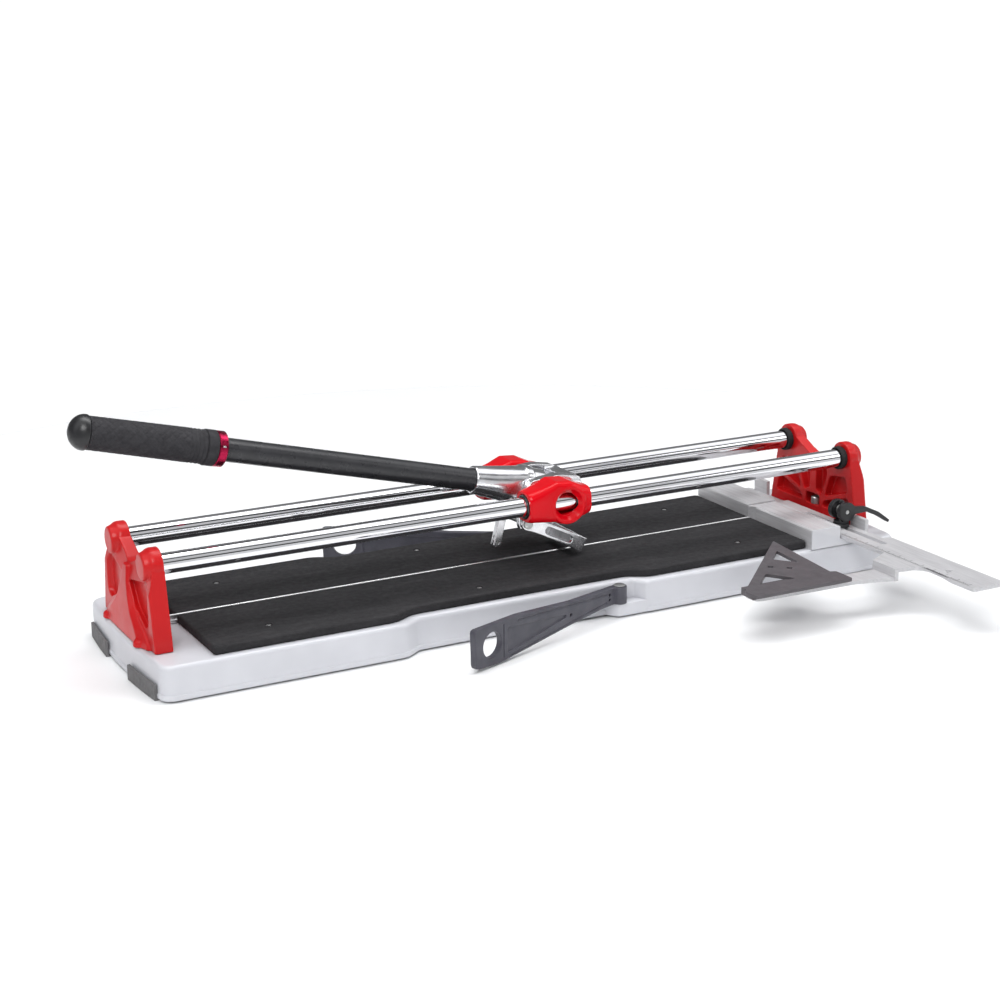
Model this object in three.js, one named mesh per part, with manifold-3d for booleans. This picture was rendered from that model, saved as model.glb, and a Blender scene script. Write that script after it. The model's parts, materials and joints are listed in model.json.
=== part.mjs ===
// Manual tile cutter: a ribbed base carries two end supports and two round rails. A carriage runs on
// the rails and holds the lever, the scoring wheel and the breaker foot. A fence with a sliding side
// stop closes the right-hand end. Millimetres, X along the rails, Z up, origin on the floor midway
// between the supports and midway between the rails.
import * as THREE from 'three';
import { mergeVertices } from 'three/addons/utils/BufferGeometryUtils.js';
import Module from 'manifold-3d';

const wasm = await Module();
wasm.setup();

// ---------------------------------------------------------------- driving dimensions
const GAP = 0.3; // clearance left between pieces that touch
const SEGMENTS = 24; // facets on a round piece
const CORNER_SEGMENTS = 2; // facets on a rounded corner

const RAIL_RADIUS = 11;
const SUPPORT_X = { left: -435, right: 429 }; // inner faces of the end supports
const RAIL_Y = 54.7;
const RAIL_Z = 124.5;
const RAIL_SOCKET = 17; // length of rail inside a support

const FOOT_Y = 74;
const FOOT_HALF = 36;

const BASE_FLOOR = 2;
const BASE_END = 460;
const BASE_BOW = 13; // control offset of the bowed end walls
const BASE_HALF_WIDTH = 126.5;
const BASE_HEIGHT = 39.2;
const BASE_SKIN = 5; // left above the pocket for the clamp's nut
const RECESS_DEPTH = 14;
const RECESS_START = -192;
const HINGE_LEDGE = 17; // height of the ledge that an arm's barrel stands on

const PAD_Z = 39.6;
const PAD_TOP = 49;
const PAD_START = -402.5;
const PAD_END = 334;
const PAD_HALF_WIDTH = 117;
const RIDGE_TOP = 49.3;
const RIDGE_WIDTH = 3;

const FENCE_X = 335;
const FENCE_DEPTH = 41;
const FENCE_TOP = 63.4;
const FENCE_REAR_Y = 115;
const CHANNEL_FLOOR = 47.6;
const CHANNEL_END = 419;

const RULER_X = 377;
const RULER_WIDTH = 35;
const RULER_BOTTOM = 48;
const RULER_TOP = 52.3;
const RULER_TIP = -359;
const RULER_TAIL = 28;
const STRIP_WIDTH = 10;
const STRIP_END = -164;
const CAM = { x: 399, y: -98, z: 72.5 };
const SLOT_WIDTH = 7.6;
const SLOT_ENDS = [-182, -28];

const FLANGE = { bottom: 37.9, top: 41.9, rear: -225, front: -250, left: 171, right: 347.5 };
const SQUARE = { bottom: 49.5, top: 53.3 };

const SUPPORT_THICKNESS = 21;
const SUPPORT_LOBE = 18.7;
const SUPPORT_FOOT = 87;
const SADDLE_Z = 116;
const SUPPORT_BOLT_X = -7.5;
const RAIL_SCREW = { x: -8, y: 52, z: 103 };

const PIVOT = { x: 31, z: 128.4 };
const LEVER_TILT = THREE.MathUtils.degToRad(14);
const LEVER_RADIUS = 12.8;
const WHEEL_RADIUS = 5;
const WHEEL_AXLE = { x: -34, z: -68.5 };
const LEG_SCREW_Z = -19.5;
const BREAKER_PIN = { x: 5.5, z: 96 };
const BREAKER_TILT = THREE.MathUtils.degToRad(27.5);

const ARM_HINGE = { x: 73, y: 121.5, z: 27.5 };
const ARM_BARREL = 8.5;
const ARM_LENGTH = 238;
const ARM_THICKNESS = 8;
const ARM_SWING = { front: THREE.MathUtils.degToRad(20), rear: THREE.MathUtils.degToRad(27) };

// ---------------------------------------------------------------- materials
const paint = (color, roughness = 0.5, metalness = 0) => (
  new THREE.MeshStandardMaterial({ color, roughness, metalness })
);
const redPaint = paint(0xd4262a, 0.35);
const whitePaint = paint(0xdedee2, 0.45);
const aluminium = paint(0xb8b8b4, 0.45, 0.9);
const chrome = paint(0xe8e8ec, 0.08, 1);
const steel = paint(0x9a9aa0, 0.35, 1);
const padRubber = paint(0x333335, 0.85);
const footRubber = paint(0x77777a, 0.8);
const armPlastic = paint(0x4a4a52, 0.55);
const squarePlastic = paint(0x6e6a70, 0.55);
const blackPlastic = paint(0x1e1e20, 0.4);
const gripRubber = paint(0x3c3c3e, 0.8);
const leverPaint = paint(0x1a1a1c, 0.4);
const anodised = paint(0xa01832, 0.3, 0.9);

// ---------------------------------------------------------------- solid helpers
function solid(geometry) {
  const bare = geometry.clone();
  bare.deleteAttribute('normal');
  bare.deleteAttribute('uv');
  const merged = mergeVertices(bare, 1e-4);
  return new wasm.Manifold(new wasm.Mesh({
    numProp: 3,
    vertProperties: new Float32Array(merged.attributes.position.array),
    triVerts: new Uint32Array(merged.index.array),
  }));
}

function surface(body) {
  const mesh = body.getMesh();
  const geometry = new THREE.BufferGeometry();
  geometry.setAttribute('position', new THREE.BufferAttribute(mesh.vertProperties, 3));
  geometry.setIndex(new THREE.BufferAttribute(mesh.triVerts, 1));
  geometry.computeVertexNormals();
  return geometry;
}

const join = (...bodies) => bodies.reduce((sum, body) => sum.add(body));
const cut = (body, ...tools) => tools.reduce((rest, tool) => rest.subtract(tool), body);

function addPiece(group, name, body, material) {
  const mesh = new THREE.Mesh(surface(body), material);
  mesh.name = name;
  group.add(mesh);
  return mesh;
}

// A closed outline through points; a point with a third value has its corner rounded by that much.
function outline(points) {
  const shape = new THREE.Shape();
  points.forEach(([x, y, round = 0], index) => {
    const before = points[(index + points.length - 1) % points.length];
    const after = points[(index + 1) % points.length];
    const corner = new THREE.Vector2(x, y);
    const toward = (other) => {
      const side = new THREE.Vector2(other[0], other[1]).sub(corner);
      return corner.clone().add(side.normalize().multiplyScalar(round));
    };
    const start = round ? toward(before) : corner;
    if (index === 0) shape.moveTo(start.x, start.y);
    else shape.lineTo(start.x, start.y);
    if (round) {
      const end = toward(after);
      shape.quadraticCurveTo(corner.x, corner.y, end.x, end.y);
    }
  });
  shape.closePath();
  return shape;
}

function circle(radius, x = 0, y = 0) {
  const shape = new THREE.Shape();
  shape.absarc(x, y, radius, 0, 2 * Math.PI, false);
  return shape;
}

const X_AXIS = new THREE.Vector3(1, 0, 0);
const Y_AXIS = new THREE.Vector3(0, 1, 0);
const Z_AXIS = new THREE.Vector3(0, 0, 1);

function prism(shape, length, curveSegments) {
  return new THREE.ExtrudeGeometry(shape, { depth: length, bevelEnabled: false, curveSegments });
}

// Prisms: the outline lies in the YZ, XZ or XY plane and runs between two places on the other axis.
function alongX(shape, from, to, curveSegments = CORNER_SEGMENTS) {
  const turn = new THREE.Matrix4().makeBasis(Y_AXIS, Z_AXIS, X_AXIS).setPosition(from, 0, 0);
  return solid(prism(shape, to - from, curveSegments).applyMatrix4(turn));
}

function alongY(shape, from, to, curveSegments = CORNER_SEGMENTS) {
  const back = Y_AXIS.clone().negate();
  const turn = new THREE.Matrix4().makeBasis(X_AXIS, Z_AXIS, back).setPosition(0, to, 0);
  return solid(prism(shape, to - from, curveSegments).applyMatrix4(turn));
}

function alongZ(shape, from, to, curveSegments = CORNER_SEGMENTS) {
  return solid(prism(shape, to - from, curveSegments).translate(0, 0, from));
}

function box([x0, x1], [y0, y1], [z0, z1]) {
  const block = new THREE.BoxGeometry(x1 - x0, y1 - y0, z1 - z0);
  return solid(block.translate((x0 + x1) / 2, (y0 + y1) / 2, (z0 + z1) / 2));
}

// A round rod whose axis starts at a point and runs along an axis for a length.
function rod(axis, radius, start, length, { endRadius = radius, segments = SEGMENTS } = {}) {
  const cylinder = new THREE.CylinderGeometry(endRadius, radius, length, segments);
  cylinder.translate(0, length / 2, 0);
  const turn = new THREE.Quaternion().setFromUnitVectors(Y_AXIS, axis);
  cylinder.applyQuaternion(turn);
  return solid(cylinder.translate(...start));
}

const hexRod = (axis, radius, start, length) => rod(axis, radius, start, length, { segments: 6 });

// ---------------------------------------------------------------- base
// The plan of the base: bowed ends, rounded corners and a recess in each long side for an arm.
function basePlan(inset, recessEnd) {
  const end = BASE_END - inset;
  const side = BASE_HALF_WIDTH - inset;
  const recess = BASE_HALF_WIDTH - RECESS_DEPTH - inset;
  const corner = 15;
  const ramp = 20;
  const start = RECESS_START - inset;
  const stop = recessEnd + inset;
  const plan = new THREE.Shape();
  plan.moveTo(-end + corner, -side);
  plan.lineTo(start, -side);
  plan.lineTo(start + ramp, -recess);
  plan.lineTo(stop, -recess);
  plan.lineTo(stop + ramp / 2, -side);
  plan.lineTo(end - corner, -side);
  plan.quadraticCurveTo(end, -side, end, -side + corner);
  plan.quadraticCurveTo(end + BASE_BOW, 0, end, side - corner);
  plan.quadraticCurveTo(end, side, end - corner, side);
  plan.lineTo(stop + ramp / 2, side);
  plan.lineTo(stop, recess);
  plan.lineTo(start + ramp, recess);
  plan.lineTo(start, side);
  plan.lineTo(-end + corner, side);
  plan.quadraticCurveTo(-end, side, -end, side - corner);
  plan.quadraticCurveTo(-end - BASE_BOW, 0, -end, -side + corner);
  plan.quadraticCurveTo(-end, -side, -end + corner, -side);
  return plan;
}

function baseCasting() {
  const ledgeEnd = ARM_HINGE.x - 13;
  const pocketEnd = ARM_HINGE.x + 24;
  const lip = alongZ(basePlan(-0.8, ledgeEnd), BASE_FLOOR, 8, 6);
  const lower = alongZ(basePlan(0, ledgeEnd), BASE_FLOOR, HINGE_LEDGE, 6);
  const upper = alongZ(basePlan(0, pocketEnd), HINGE_LEDGE, BASE_HEIGHT, 6);
  const footSeat = box([-30 - GAP, 30 + GAP], [-12 - GAP, 12 + GAP], [0, 4]);
  const camHole = rod(Z_AXIS, 3.4, [CAM.x, CAM.y, 20], 30);
  const nutPocket = rod(Z_AXIS, 8, [CAM.x, CAM.y, 0], BASE_HEIGHT - BASE_SKIN);
  const armHoles = [-1, 1].map((side) => (
    rod(Z_AXIS, 3.3, [ARM_HINGE.x, side * ARM_HINGE.y, 6], 20)
  ));
  const armBosses = [-1, 1].map((side) => (
    rod(Z_AXIS, 8, [ARM_HINGE.x, side * (ARM_HINGE.y - 2), BASE_FLOOR], HINGE_LEDGE - BASE_FLOOR)
  ));
  return cut(join(lip, lower, upper, ...armBosses), footSeat, camHole, nutPocket, ...armHoles);
}

function centreFoot() {
  const sole = box([-30, 30], [-12, 12], [0, 3.7]);
  const rim = alongZ(outline([[-28, -8, 3], [28, -8, 3], [28, 8, 3], [-28, 8, 3]]), 3, 3.7);
  return join(sole, rim);
}

// A rubber foot that wraps the bottom edge of an end wall, at the given middle Y.
function endFoot(side, middle) {
  const bow = (y) => BASE_END + BASE_BOW / 2 * (1 - (y / (BASE_HALF_WIDTH - 15)) ** 2);
  const steps = 6;
  const edge = [];
  for (let i = 0; i <= steps; i += 1) {
    const y = middle + FOOT_HALF * ((2 * i) / steps - 1);
    edge.push([y, bow(y)]);
  }
  const skin = (offset) => edge.map(([y, x]) => [side * (x + offset), y]);
  const ring = (near, far) => {
    const points = [...skin(near), ...skin(far).reverse()];
    return outline(side > 0 ? points.reverse() : points);
  };
  const outerClip = alongZ(ring(1.3, 5), 0, 17);
  const sole = alongZ(ring(-9, 5), 0, BASE_FLOOR - GAP);
  return join(outerClip, sole);
}

// ---------------------------------------------------------------- cutting bench
function pad(side) {
  const jog = 14;
  const inner = side * (RIDGE_WIDTH / 2 + 1);
  const outer = side * PAD_HALF_WIDTH;
  const stepped = side * (PAD_HALF_WIDTH - jog);
  const plan = outline([
    [PAD_START, inner], [PAD_START, outer, 3], [-198, outer, 6], [-174, stepped, 6],
    [92, stepped, 6], [114, outer, 6], [PAD_END, outer, 3], [PAD_END, inner],
  ]);
  const body = alongZ(plan, PAD_Z, PAD_TOP);
  return cut(body, box([SUPPORT_X.left, PAD_END + 5], [-3.3, 3.3], [PAD_Z - 1, 44]));
}

function ridgeBar() {
  const section = outline([
    [-2.9, PAD_Z], [2.9, PAD_Z], [2.9, 43.6], [RIDGE_WIDTH / 2, 43.6],
    [RIDGE_WIDTH / 2, RIDGE_TOP - 0.6], [0.8, RIDGE_TOP], [-0.8, RIDGE_TOP],
    [-RIDGE_WIDTH / 2, RIDGE_TOP - 0.6], [-RIDGE_WIDTH / 2, 43.6], [-2.9, 43.6],
  ]);
  return alongX(section, SUPPORT_X.left + 3, PAD_END);
}

// ---------------------------------------------------------------- fence
function fenceBlock() {
  const bottom = BASE_HEIGHT + GAP;
  const rear = FENCE_X + FENCE_DEPTH;
  const section = outline([
    [FENCE_X, bottom], [CHANNEL_END, bottom], [CHANNEL_END, CHANNEL_FLOOR],
    [rear, CHANNEL_FLOOR], [rear, FENCE_TOP, 1.2], [FENCE_X, FENCE_TOP, 1.5],
  ]);
  const body = alongY(section, -BASE_HALF_WIDTH, FENCE_REAR_Y);
  const lugs = [[-BASE_HALF_WIDTH, -96], [76, 103]].map((span) => (
    box([CHANNEL_END - 5, CHANNEL_END], span, [CHANNEL_FLOOR - 1, 65])
  ));
  const notchY = -4;
  const notchGroove = rod(Z_AXIS, 8.5, [FENCE_X - 3, notchY, 44], 30);
  const notchTop = box([FENCE_X - 1, rear + 1], [notchY - 8.5, notchY + 8.5], [FENCE_TOP - 2.4, 70]);
  const camHole = rod(Z_AXIS, 3.4, [CAM.x, CAM.y, 35], 20);
  return cut(join(body, ...lugs), notchGroove, notchTop, camHole);
}

// ---------------------------------------------------------------- end supports
// Built for the left-hand end, with its inner face at x = 0 and its outer side towards -X.
function supportProfile() {
  const shoulder = 73;
  const lobeInner = RAIL_Y - 12;
  return outline([
    [-SUPPORT_FOOT, BASE_HEIGHT + GAP], [SUPPORT_FOOT, BASE_HEIGHT + GAP], [SUPPORT_FOOT - 1.5, 50],
    [shoulder, 112], [RAIL_Y, RAIL_Z + 10], [lobeInner, RAIL_Z + 13], [0, SADDLE_Z, 8],
    [-lobeInner, RAIL_Z + 13], [-RAIL_Y, RAIL_Z + 10], [-shoulder, 112], [-SUPPORT_FOOT + 1.5, 50],
  ]);
}

// Pockets between the ribs of the inner side, in the YZ plane.
function supportPockets() {
  const low = 46;
  const right = [
    [[20, low + 8], [76, low + 8], [70, 76], [24, 62]],
    [[24, 68], [69, 82], [64, 101], [34, 96]],
    [[6, 72], [18, 68], [29, 98], [22, 108], [6, 104]],
  ];
  const left = right.map((pocket) => pocket.map(([y, z]) => [-y, z]).reverse());
  return [...right, ...left].map((pocket) => outline(pocket.map(([y, z]) => [y, z, 1.5])));
}

function supportCasting() {
  const bottom = BASE_HEIGHT + GAP;
  const slab = alongX(supportProfile(), -SUPPORT_THICKNESS, 0);
  const lobes = [-1, 1].map((side) => (
    rod(X_AXIS, SUPPORT_LOBE, [-SUPPORT_THICKNESS + 1, side * RAIL_Y, RAIL_Z], SUPPORT_THICKNESS - 1)
  ));
  const bulgeSection = outline([[-28, bottom], [-10, bottom], [-10, 100], [-20.5, 100], [-27, 52]]);
  const bulge = alongY(bulgeSection, -56, 56);
  const shell = join(slab, ...lobes, bulge);
  const sockets = [-1, 1].map((side) => (
    rod(X_AXIS, RAIL_RADIUS + GAP, [-RAIL_SOCKET - GAP, side * RAIL_Y, RAIL_Z], 40)
  ));
  const screwHoles = [-1, 1].map((side) => (
    rod(Z_AXIS, 2.8, [RAIL_SCREW.x, side * RAIL_SCREW.y, RAIL_SCREW.z - 7], 20, { segments: 20 })
  ));
  const pockets = supportPockets().map((pocket) => alongX(pocket, -13, 5));
  const boltSeat = box([-15.5, 5], [-14, 14], [52, 66]);
  const boltHole = rod(Z_AXIS, 5.3, [SUPPORT_BOLT_X, 0, 30], 30);
  const window = outline([[-36, 98, 4], [-10, 56, 4], [10, 56, 4], [36, 98, 4]]);
  const outerWindow = alongX(window, -40, -19);
  return cut(shell, ...sockets, ...screwHoles, ...pockets, boltSeat, boltHole, outerWindow);
}

// A cap screw on a washer that holds a support down on the base.
function supportBolt() {
  const head = rod(Z_AXIS, 7.4, [SUPPORT_BOLT_X, 0, 52 + GAP], 9);
  const socket = hexRod(Z_AXIS, 4.2, [SUPPORT_BOLT_X, 0, 57], 8);
  const shank = rod(Z_AXIS, 5, [SUPPORT_BOLT_X, 0, BASE_HEIGHT + GAP], 16);
  return cut(join(head, shank), socket);
}

// A grub screw below a socket, reached from the pocket under it, that grips the rail.
function railScrew(side) {
  const start = [RAIL_SCREW.x, side * RAIL_SCREW.y, RAIL_SCREW.z];
  const screw = rod(Z_AXIS, 2.5, start, 9.8, { segments: 20 });
  return screw.subtract(hexRod(Z_AXIS, 1.4, [start[0], start[1], start[2] - 1], 3));
}

function rail(side) {
  const reach = RAIL_SOCKET - GAP;
  const length = SUPPORT_X.right - SUPPORT_X.left + 2 * reach;
  const start = [SUPPORT_X.left - reach, side * RAIL_Y, RAIL_Z];
  const tube = rod(X_AXIS, RAIL_RADIUS, start, length, { segments: 32 });
  const bore = rod(X_AXIS, 4.3, [start[0] - 1, start[1], start[2]], length + 2, { segments: 16 });
  return tube.subtract(bore);
}

function bumper(side) {
  const length = 8;
  const start = [SUPPORT_X.right - length - GAP, side * RAIL_Y, RAIL_Z];
  const ring = rod(X_AXIS, 14, start, length);
  return ring.subtract(rod(X_AXIS, RAIL_RADIUS + GAP, [start[0] - 1, start[1], start[2]], length + 2));
}

// ---------------------------------------------------------------- side stop
function sideStop() {
  const front = RULER_X;
  const rear = RULER_X + RULER_WIDTH;
  const plan = outline([
    [front, RULER_TAIL, 2], [front, -207], [FLANGE.right, -223], [FLANGE.right, -263, 2],
    [front - 5, -266, 2], [front + 5, -277, 6], [front + 4, -304, 8], [front, -322],
    [front, RULER_TIP, 4], [rear + STRIP_WIDTH, RULER_TIP, 4], [rear + STRIP_WIDTH, STRIP_END, 3],
    [rear, STRIP_END + 3], [rear, RULER_TAIL, 2],
  ]);
  const plate = alongZ(plan, RULER_BOTTOM, RULER_TOP);
  const step = box([FLANGE.right, FLANGE.right + 5], [-263, -223], [FLANGE.bottom, RULER_TOP - 1]);
  const flangePlan = outline([
    [FLANGE.left, FLANGE.rear, 2], [FLANGE.left, -246, 8], [305, -250], [FLANGE.right + 5, -263],
    [FLANGE.right + 5, FLANGE.rear],
  ]);
  const flange = alongZ(flangePlan, FLANGE.bottom, FLANGE.top);
  const middle = (SLOT_ENDS[0] + SLOT_ENDS[1]) / 2;
  const slotPlan = outline([
    [CAM.x - SLOT_WIDTH / 2, SLOT_ENDS[0], 3.5], [CAM.x + SLOT_WIDTH / 2, SLOT_ENDS[0], 3.5],
    [CAM.x + SLOT_WIDTH / 2, middle], [CAM.x + SLOT_WIDTH / 2, SLOT_ENDS[1], 3.5],
    [CAM.x - SLOT_WIDTH / 2, SLOT_ENDS[1], 3.5], [CAM.x - SLOT_WIDTH / 2, middle],
  ]);
  const slot = alongZ(slotPlan, RULER_BOTTOM - 2, RULER_TOP + 2);
  const window = alongZ(outline([[394, -292], [388, -303], [400, -299]]), 40, 60);
  return cut(join(plate, step, flange), slot, window);
}

// A 45 degree square that slides along the flange of the side stop.
function squarePlate() {
  const plan = outline([
    [291, -109.5, 3], [278, -235.6], [284.5, -238.5, 2], [285, -267.5, 3], [157, -266.8, 5], [155, -247, 3],
  ]);
  const upperHole = outline([[248.5, -168, 3], [272, -143, 3], [268, -191, 4]]);
  const lowerHole = outline([[183, -235.5, 3], [211, -207, 3], [231, -236.5, 4]]);
  const bossHoles = [[230, -189], [246, -203]].map(([x, y]) => circle(4.5, x, y));
  const plate = alongZ(plan, SQUARE.bottom, SQUARE.top);
  const holes = [upperHole, lowerHole, ...bossHoles].map((hole) => alongZ(hole, 45, 60));
  const slider = box([165, 280], [FLANGE.front + 1, FLANGE.rear - 1], [FLANGE.top + GAP, SQUARE.bottom + 1]);
  return join(cut(plate, ...holes), slider);
}

// ---------------------------------------------------------------- quick-release clamp
function camShoe() {
  const shoe = join(
    rod(Z_AXIS, 10, [CAM.x, CAM.y, RULER_TOP + GAP], 4.5),
    rod(Z_AXIS, 8.5, [CAM.x, CAM.y, RULER_TOP + 4], 3.9, { endRadius: 9.5 }),
  );
  return shoe.subtract(rod(Z_AXIS, 3.3, [CAM.x, CAM.y, 50], 20));
}

function camStud() {
  const shank = rod(Z_AXIS, 3, [CAM.x, CAM.y, 22], CAM.z - 22);
  const eye = rod(Y_AXIS, 6, [CAM.x, CAM.y - 4, CAM.z], 8);
  return cut(join(shank, eye), rod(Y_AXIS, 2.8, [CAM.x, CAM.y - 8, CAM.z], 16));
}

const camPin = () => rod(Y_AXIS, 2.5, [CAM.x, CAM.y - 11.5, CAM.z], 23, { segments: 20 });

// The nut under the base skin that the stud is screwed into.
function camNut() {
  const nut = hexRod(Z_AXIS, 7, [CAM.x, CAM.y, BASE_HEIGHT - BASE_SKIN - 7], 6.7);
  return nut.subtract(rod(Z_AXIS, 3.3, [CAM.x, CAM.y, 20], 20));
}

function camLever() {
  const knobs = [[-12, 6.8], [5.2, 6.8]].map(([start, length]) => (
    rod(Y_AXIS, 11.8, [0, start, 0], length)
  ));
  const bridge = cut(
    alongY(outline([[2, 11], [11, 4], [11, -4], [6, -3], [0, 8]]), -8, 8),
    rod(Y_AXIS, 6.6, [0, -10, 0], 20),
  );
  const arm = outline([
    [4, 6], [11, 5.5], [28, 3], [47, -6], [64, -18.5, 1], [62, -21.5, 1], [45, -11], [28, -3.2], [10, -4], [4, -6],
  ]);
  const blade = alongY(arm, -12, -5.4);
  return cut(join(...knobs, bridge, blade), rod(Y_AXIS, 2.8, [0, -20, 0], 40));
}

// ---------------------------------------------------------------- side arms
// Built with the hinge axis at the origin and the arm running towards -X, its face in the XZ plane
// and shifted towards the base (inward is +1 for the front arm, -1 for the rear one).
function sideArm(inward) {
  const end = -ARM_LENGTH;
  const middle = ARM_HINGE.z;
  const face = outline([
    [-2, 37.2 - middle], [-82, 39.5 - middle], [-132, 44 - middle], [-169, 47.5 - middle, 3],
    [end, 47.5 - middle, 4], [end + 1, 4 - middle, 5], [-197, 2.5 - middle, 5], [-149, 7 - middle],
    [-83, 13.5 - middle], [-30, 17.4 - middle], [-2, 17.6 - middle],
  ]);
  const faces = [-0.4 * inward, (ARM_THICKNESS - 0.4) * inward].sort((a, b) => a - b);
  const plate = alongY(face, ...faces);
  const barrel = rod(Z_AXIS, ARM_BARREL, [0, 0, HINGE_LEDGE + GAP - middle], 20);
  const ring = rod(Y_AXIS, 14.3, [-211, -15, 25.5 - middle], 30);
  const pinHole = rod(Z_AXIS, 3.3, [0, 0, -20], 40);
  const smallHole = rod(Y_AXIS, 1.8, [-84, -15, 25 - middle], 30, { segments: 16 });
  return cut(join(plate, barrel), ring, pinHole, smallHole);
}

function armPin() {
  const shank = rod(Z_AXIS, 3, [0, 0, 8 - ARM_HINGE.z], 30.5);
  const head = rod(Z_AXIS, 6.5, [0, 0, 37.6 - ARM_HINGE.z], 1.4);
  return join(shank, head);
}

// ---------------------------------------------------------------- carriage
// Built with X = 0 at the lever's pivot and Z = 0 at the rails' height.
const HOUSING = { left: -43, waist: -7, right: 36, ring: 5 };

function carriageHousing(side) {
  const axis = side * RAIL_Y;
  const inner = side * 35.3;
  const face = side * 74;
  const leftLength = HOUSING.waist - HOUSING.left;
  const rightLength = HOUSING.right - HOUSING.waist;
  const sleeveLeft = rod(X_AXIS, 17.3, [HOUSING.left, axis, 0], leftLength, { endRadius: 19.5 });
  const sleeveRight = rod(X_AXIS, 19.5, [HOUSING.waist, axis, 0], rightLength, { endRadius: 16.5 });
  const bossStart = Math.min(inner, face);
  const boss = rod(Y_AXIS, 22, [HOUSING.ring, bossStart, 0], Math.abs(face - inner), { segments: 40 });
  const hump = alongY(outline([
    [-38, 4], [24, 4], [22, 20, 4], [2, 30, 6], [-14, 28, 4], [-34, 19],
  ]), Math.min(inner, axis), Math.max(inner, axis));
  const bore = rod(X_AXIS, 14, [HOUSING.left - 5, axis, 0], 110);
  const window = rod(Y_AXIS, 13, [HOUSING.ring, Math.min(axis, side * 80), 0], 80 - RAIL_Y, { segments: 40 });
  const pivotHole = rod(Y_AXIS, 5.3, [0, -90, PIVOT.z - RAIL_Z], 180);
  return cut(join(sleeveLeft, sleeveRight, boss, hump), bore, window, pivotHole);
}

function railBush(side, from, to) {
  const sleeve = rod(X_AXIS, 14 - GAP, [from, side * RAIL_Y, 0], to - from);
  return sleeve.subtract(rod(X_AXIS, RAIL_RADIUS + GAP, [from - 1, side * RAIL_Y, 0], to - from + 2));
}

function carriageBody() {
  const cheekShape = outline([
    [-35, -10, 4], [-35, -36, 6], [-18, -36, 6], [-16, -24, 3], [4, -18, 4], [40, -14, 4],
    [46, 4, 5], [42, 20, 5], [14, 25, 4], [-22, 22, 4],
  ]);
  const cheeks = [-1, 1].flatMap((side) => {
    const [inner, step, outer] = [22, 28, 35].map((y) => side * y);
    const whole = alongY(cheekShape, Math.min(inner, step), Math.max(inner, step));
    const thick = alongY(cheekShape, Math.min(step, outer), Math.max(step, outer));
    return [whole, cut(thick, box([-50, 60], [-40, 40], [-50, -12]))];
  });
  const rearBridge = box([27, 43], [-24, 24], [-10, 19]);
  const pivotHole = rod(Y_AXIS, 5.3, [0, -50, PIVOT.z - RAIL_Z], 100);
  const pinHole = rod(Y_AXIS, 4.3, [BREAKER_PIN.x - PIVOT.x, -50, BREAKER_PIN.z - RAIL_Z], 100);
  const magnetSeat = rod(Z_AXIS, 6.4, [35, 0, -14], 9);
  return cut(join(...cheeks, rearBridge), pivotHole, pinHole, magnetSeat);
}

const breakerMagnet = () => rod(Z_AXIS, 6, [35, 0, -10.5], 5);

function pivotBolt() {
  return rod(Y_AXIS, 5, [0, -40, PIVOT.z - RAIL_Z], 80);
}

function breakerPin() {
  const [x, z] = [BREAKER_PIN.x - PIVOT.x, BREAKER_PIN.z - RAIL_Z];
  return join(rod(Y_AXIS, 4, [x, -33.6, z], 66.6), rod(Y_AXIS, 5.6, [x, -34.9, z], 1.6));
}

// ---------------------------------------------------------------- lever (pivot at the origin)
function leverHolder() {
  const side = outline([
    [-83, -16, 2], [-83, 16, 2], [-40, 20], [-8, 21, 4], [12, 17, 6], [19, 4, 6], [17, -12, 6],
    [2, -20, 6], [-28, -24, 4], [-48, -22, 4],
  ]);
  const top = outline([
    [-84, -16, 3], [-40, -18], [-20, -21.5], [20, -21.5], [20, 21.5], [-20, 21.5], [-40, 18], [-84, 16, 3],
  ]);
  const block = alongY(side, -30, 30).intersect(alongZ(top, -40, 40));
  const tubeSocket = rod(X_AXIS, LEVER_RADIUS + GAP, [-90, 0, 0], 56);
  const pivotHole = rod(Y_AXIS, 5.3, [0, -30, 0], 60);
  const wheelSlot = box([-40, -28], [-4.3, 4.3], [-50, -14.5]);
  const screwHole = rod(Y_AXIS, 2.8, [WHEEL_AXLE.x, -30, LEG_SCREW_Z], 26, { segments: 20 });
  return cut(block, tubeSocket, pivotHole, wheelSlot, screwHole);
}

const leverTube = () => (
  rod(X_AXIS, LEVER_RADIUS, [-514, 0, 0], 478)
    .subtract(rod(X_AXIS, LEVER_RADIUS - 2, [-520, 0, 0], 490))
);

function grip() {
  const sleeve = rod(X_AXIS, 17.6, [-532, 0, 0], 130, { endRadius: 18.6 });
  const flange = rod(X_AXIS, 19.4, [-406, 0, 0], 12 - GAP);
  return cut(join(sleeve, flange), rod(X_AXIS, LEVER_RADIUS + GAP, [-516, 0, 0], 140));
}

function gripCap() {
  const radius = 18.8;
  const points = [[0, 0], [17, 0]];
  const steps = 7;
  for (let i = 0; i <= steps; i += 1) {
    const angle = (Math.PI / 2) * (i / steps);
    points.push([radius * Math.cos(angle), 2 + 17 * Math.sin(angle)]);
  }
  const profile = points.map(([r, h]) => new THREE.Vector2(Math.max(r, 0), h));
  profile[profile.length - 1].x = 0;
  const dome = new THREE.LatheGeometry(profile, SEGMENTS);
  const turn = new THREE.Matrix4().makeRotationZ(Math.PI / 2).setPosition(-532 - GAP, 0, 0);
  return solid(dome.applyMatrix4(turn));
}

function gripRing() {
  const ring = rod(X_AXIS, 19.2, [-394, 0, 0], 9.5);
  const bore = rod(X_AXIS, LEVER_RADIUS + GAP, [-395, 0, 0], 12);
  return cut(ring, bore, rod(Y_AXIS, 2.3, [-389.2, -25, 5], 13.2, { segments: 20 }));
}

const ringScrew = () => rod(Y_AXIS, 2, [-389.2, -18.5, 5], 5.7, { segments: 20 });

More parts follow.
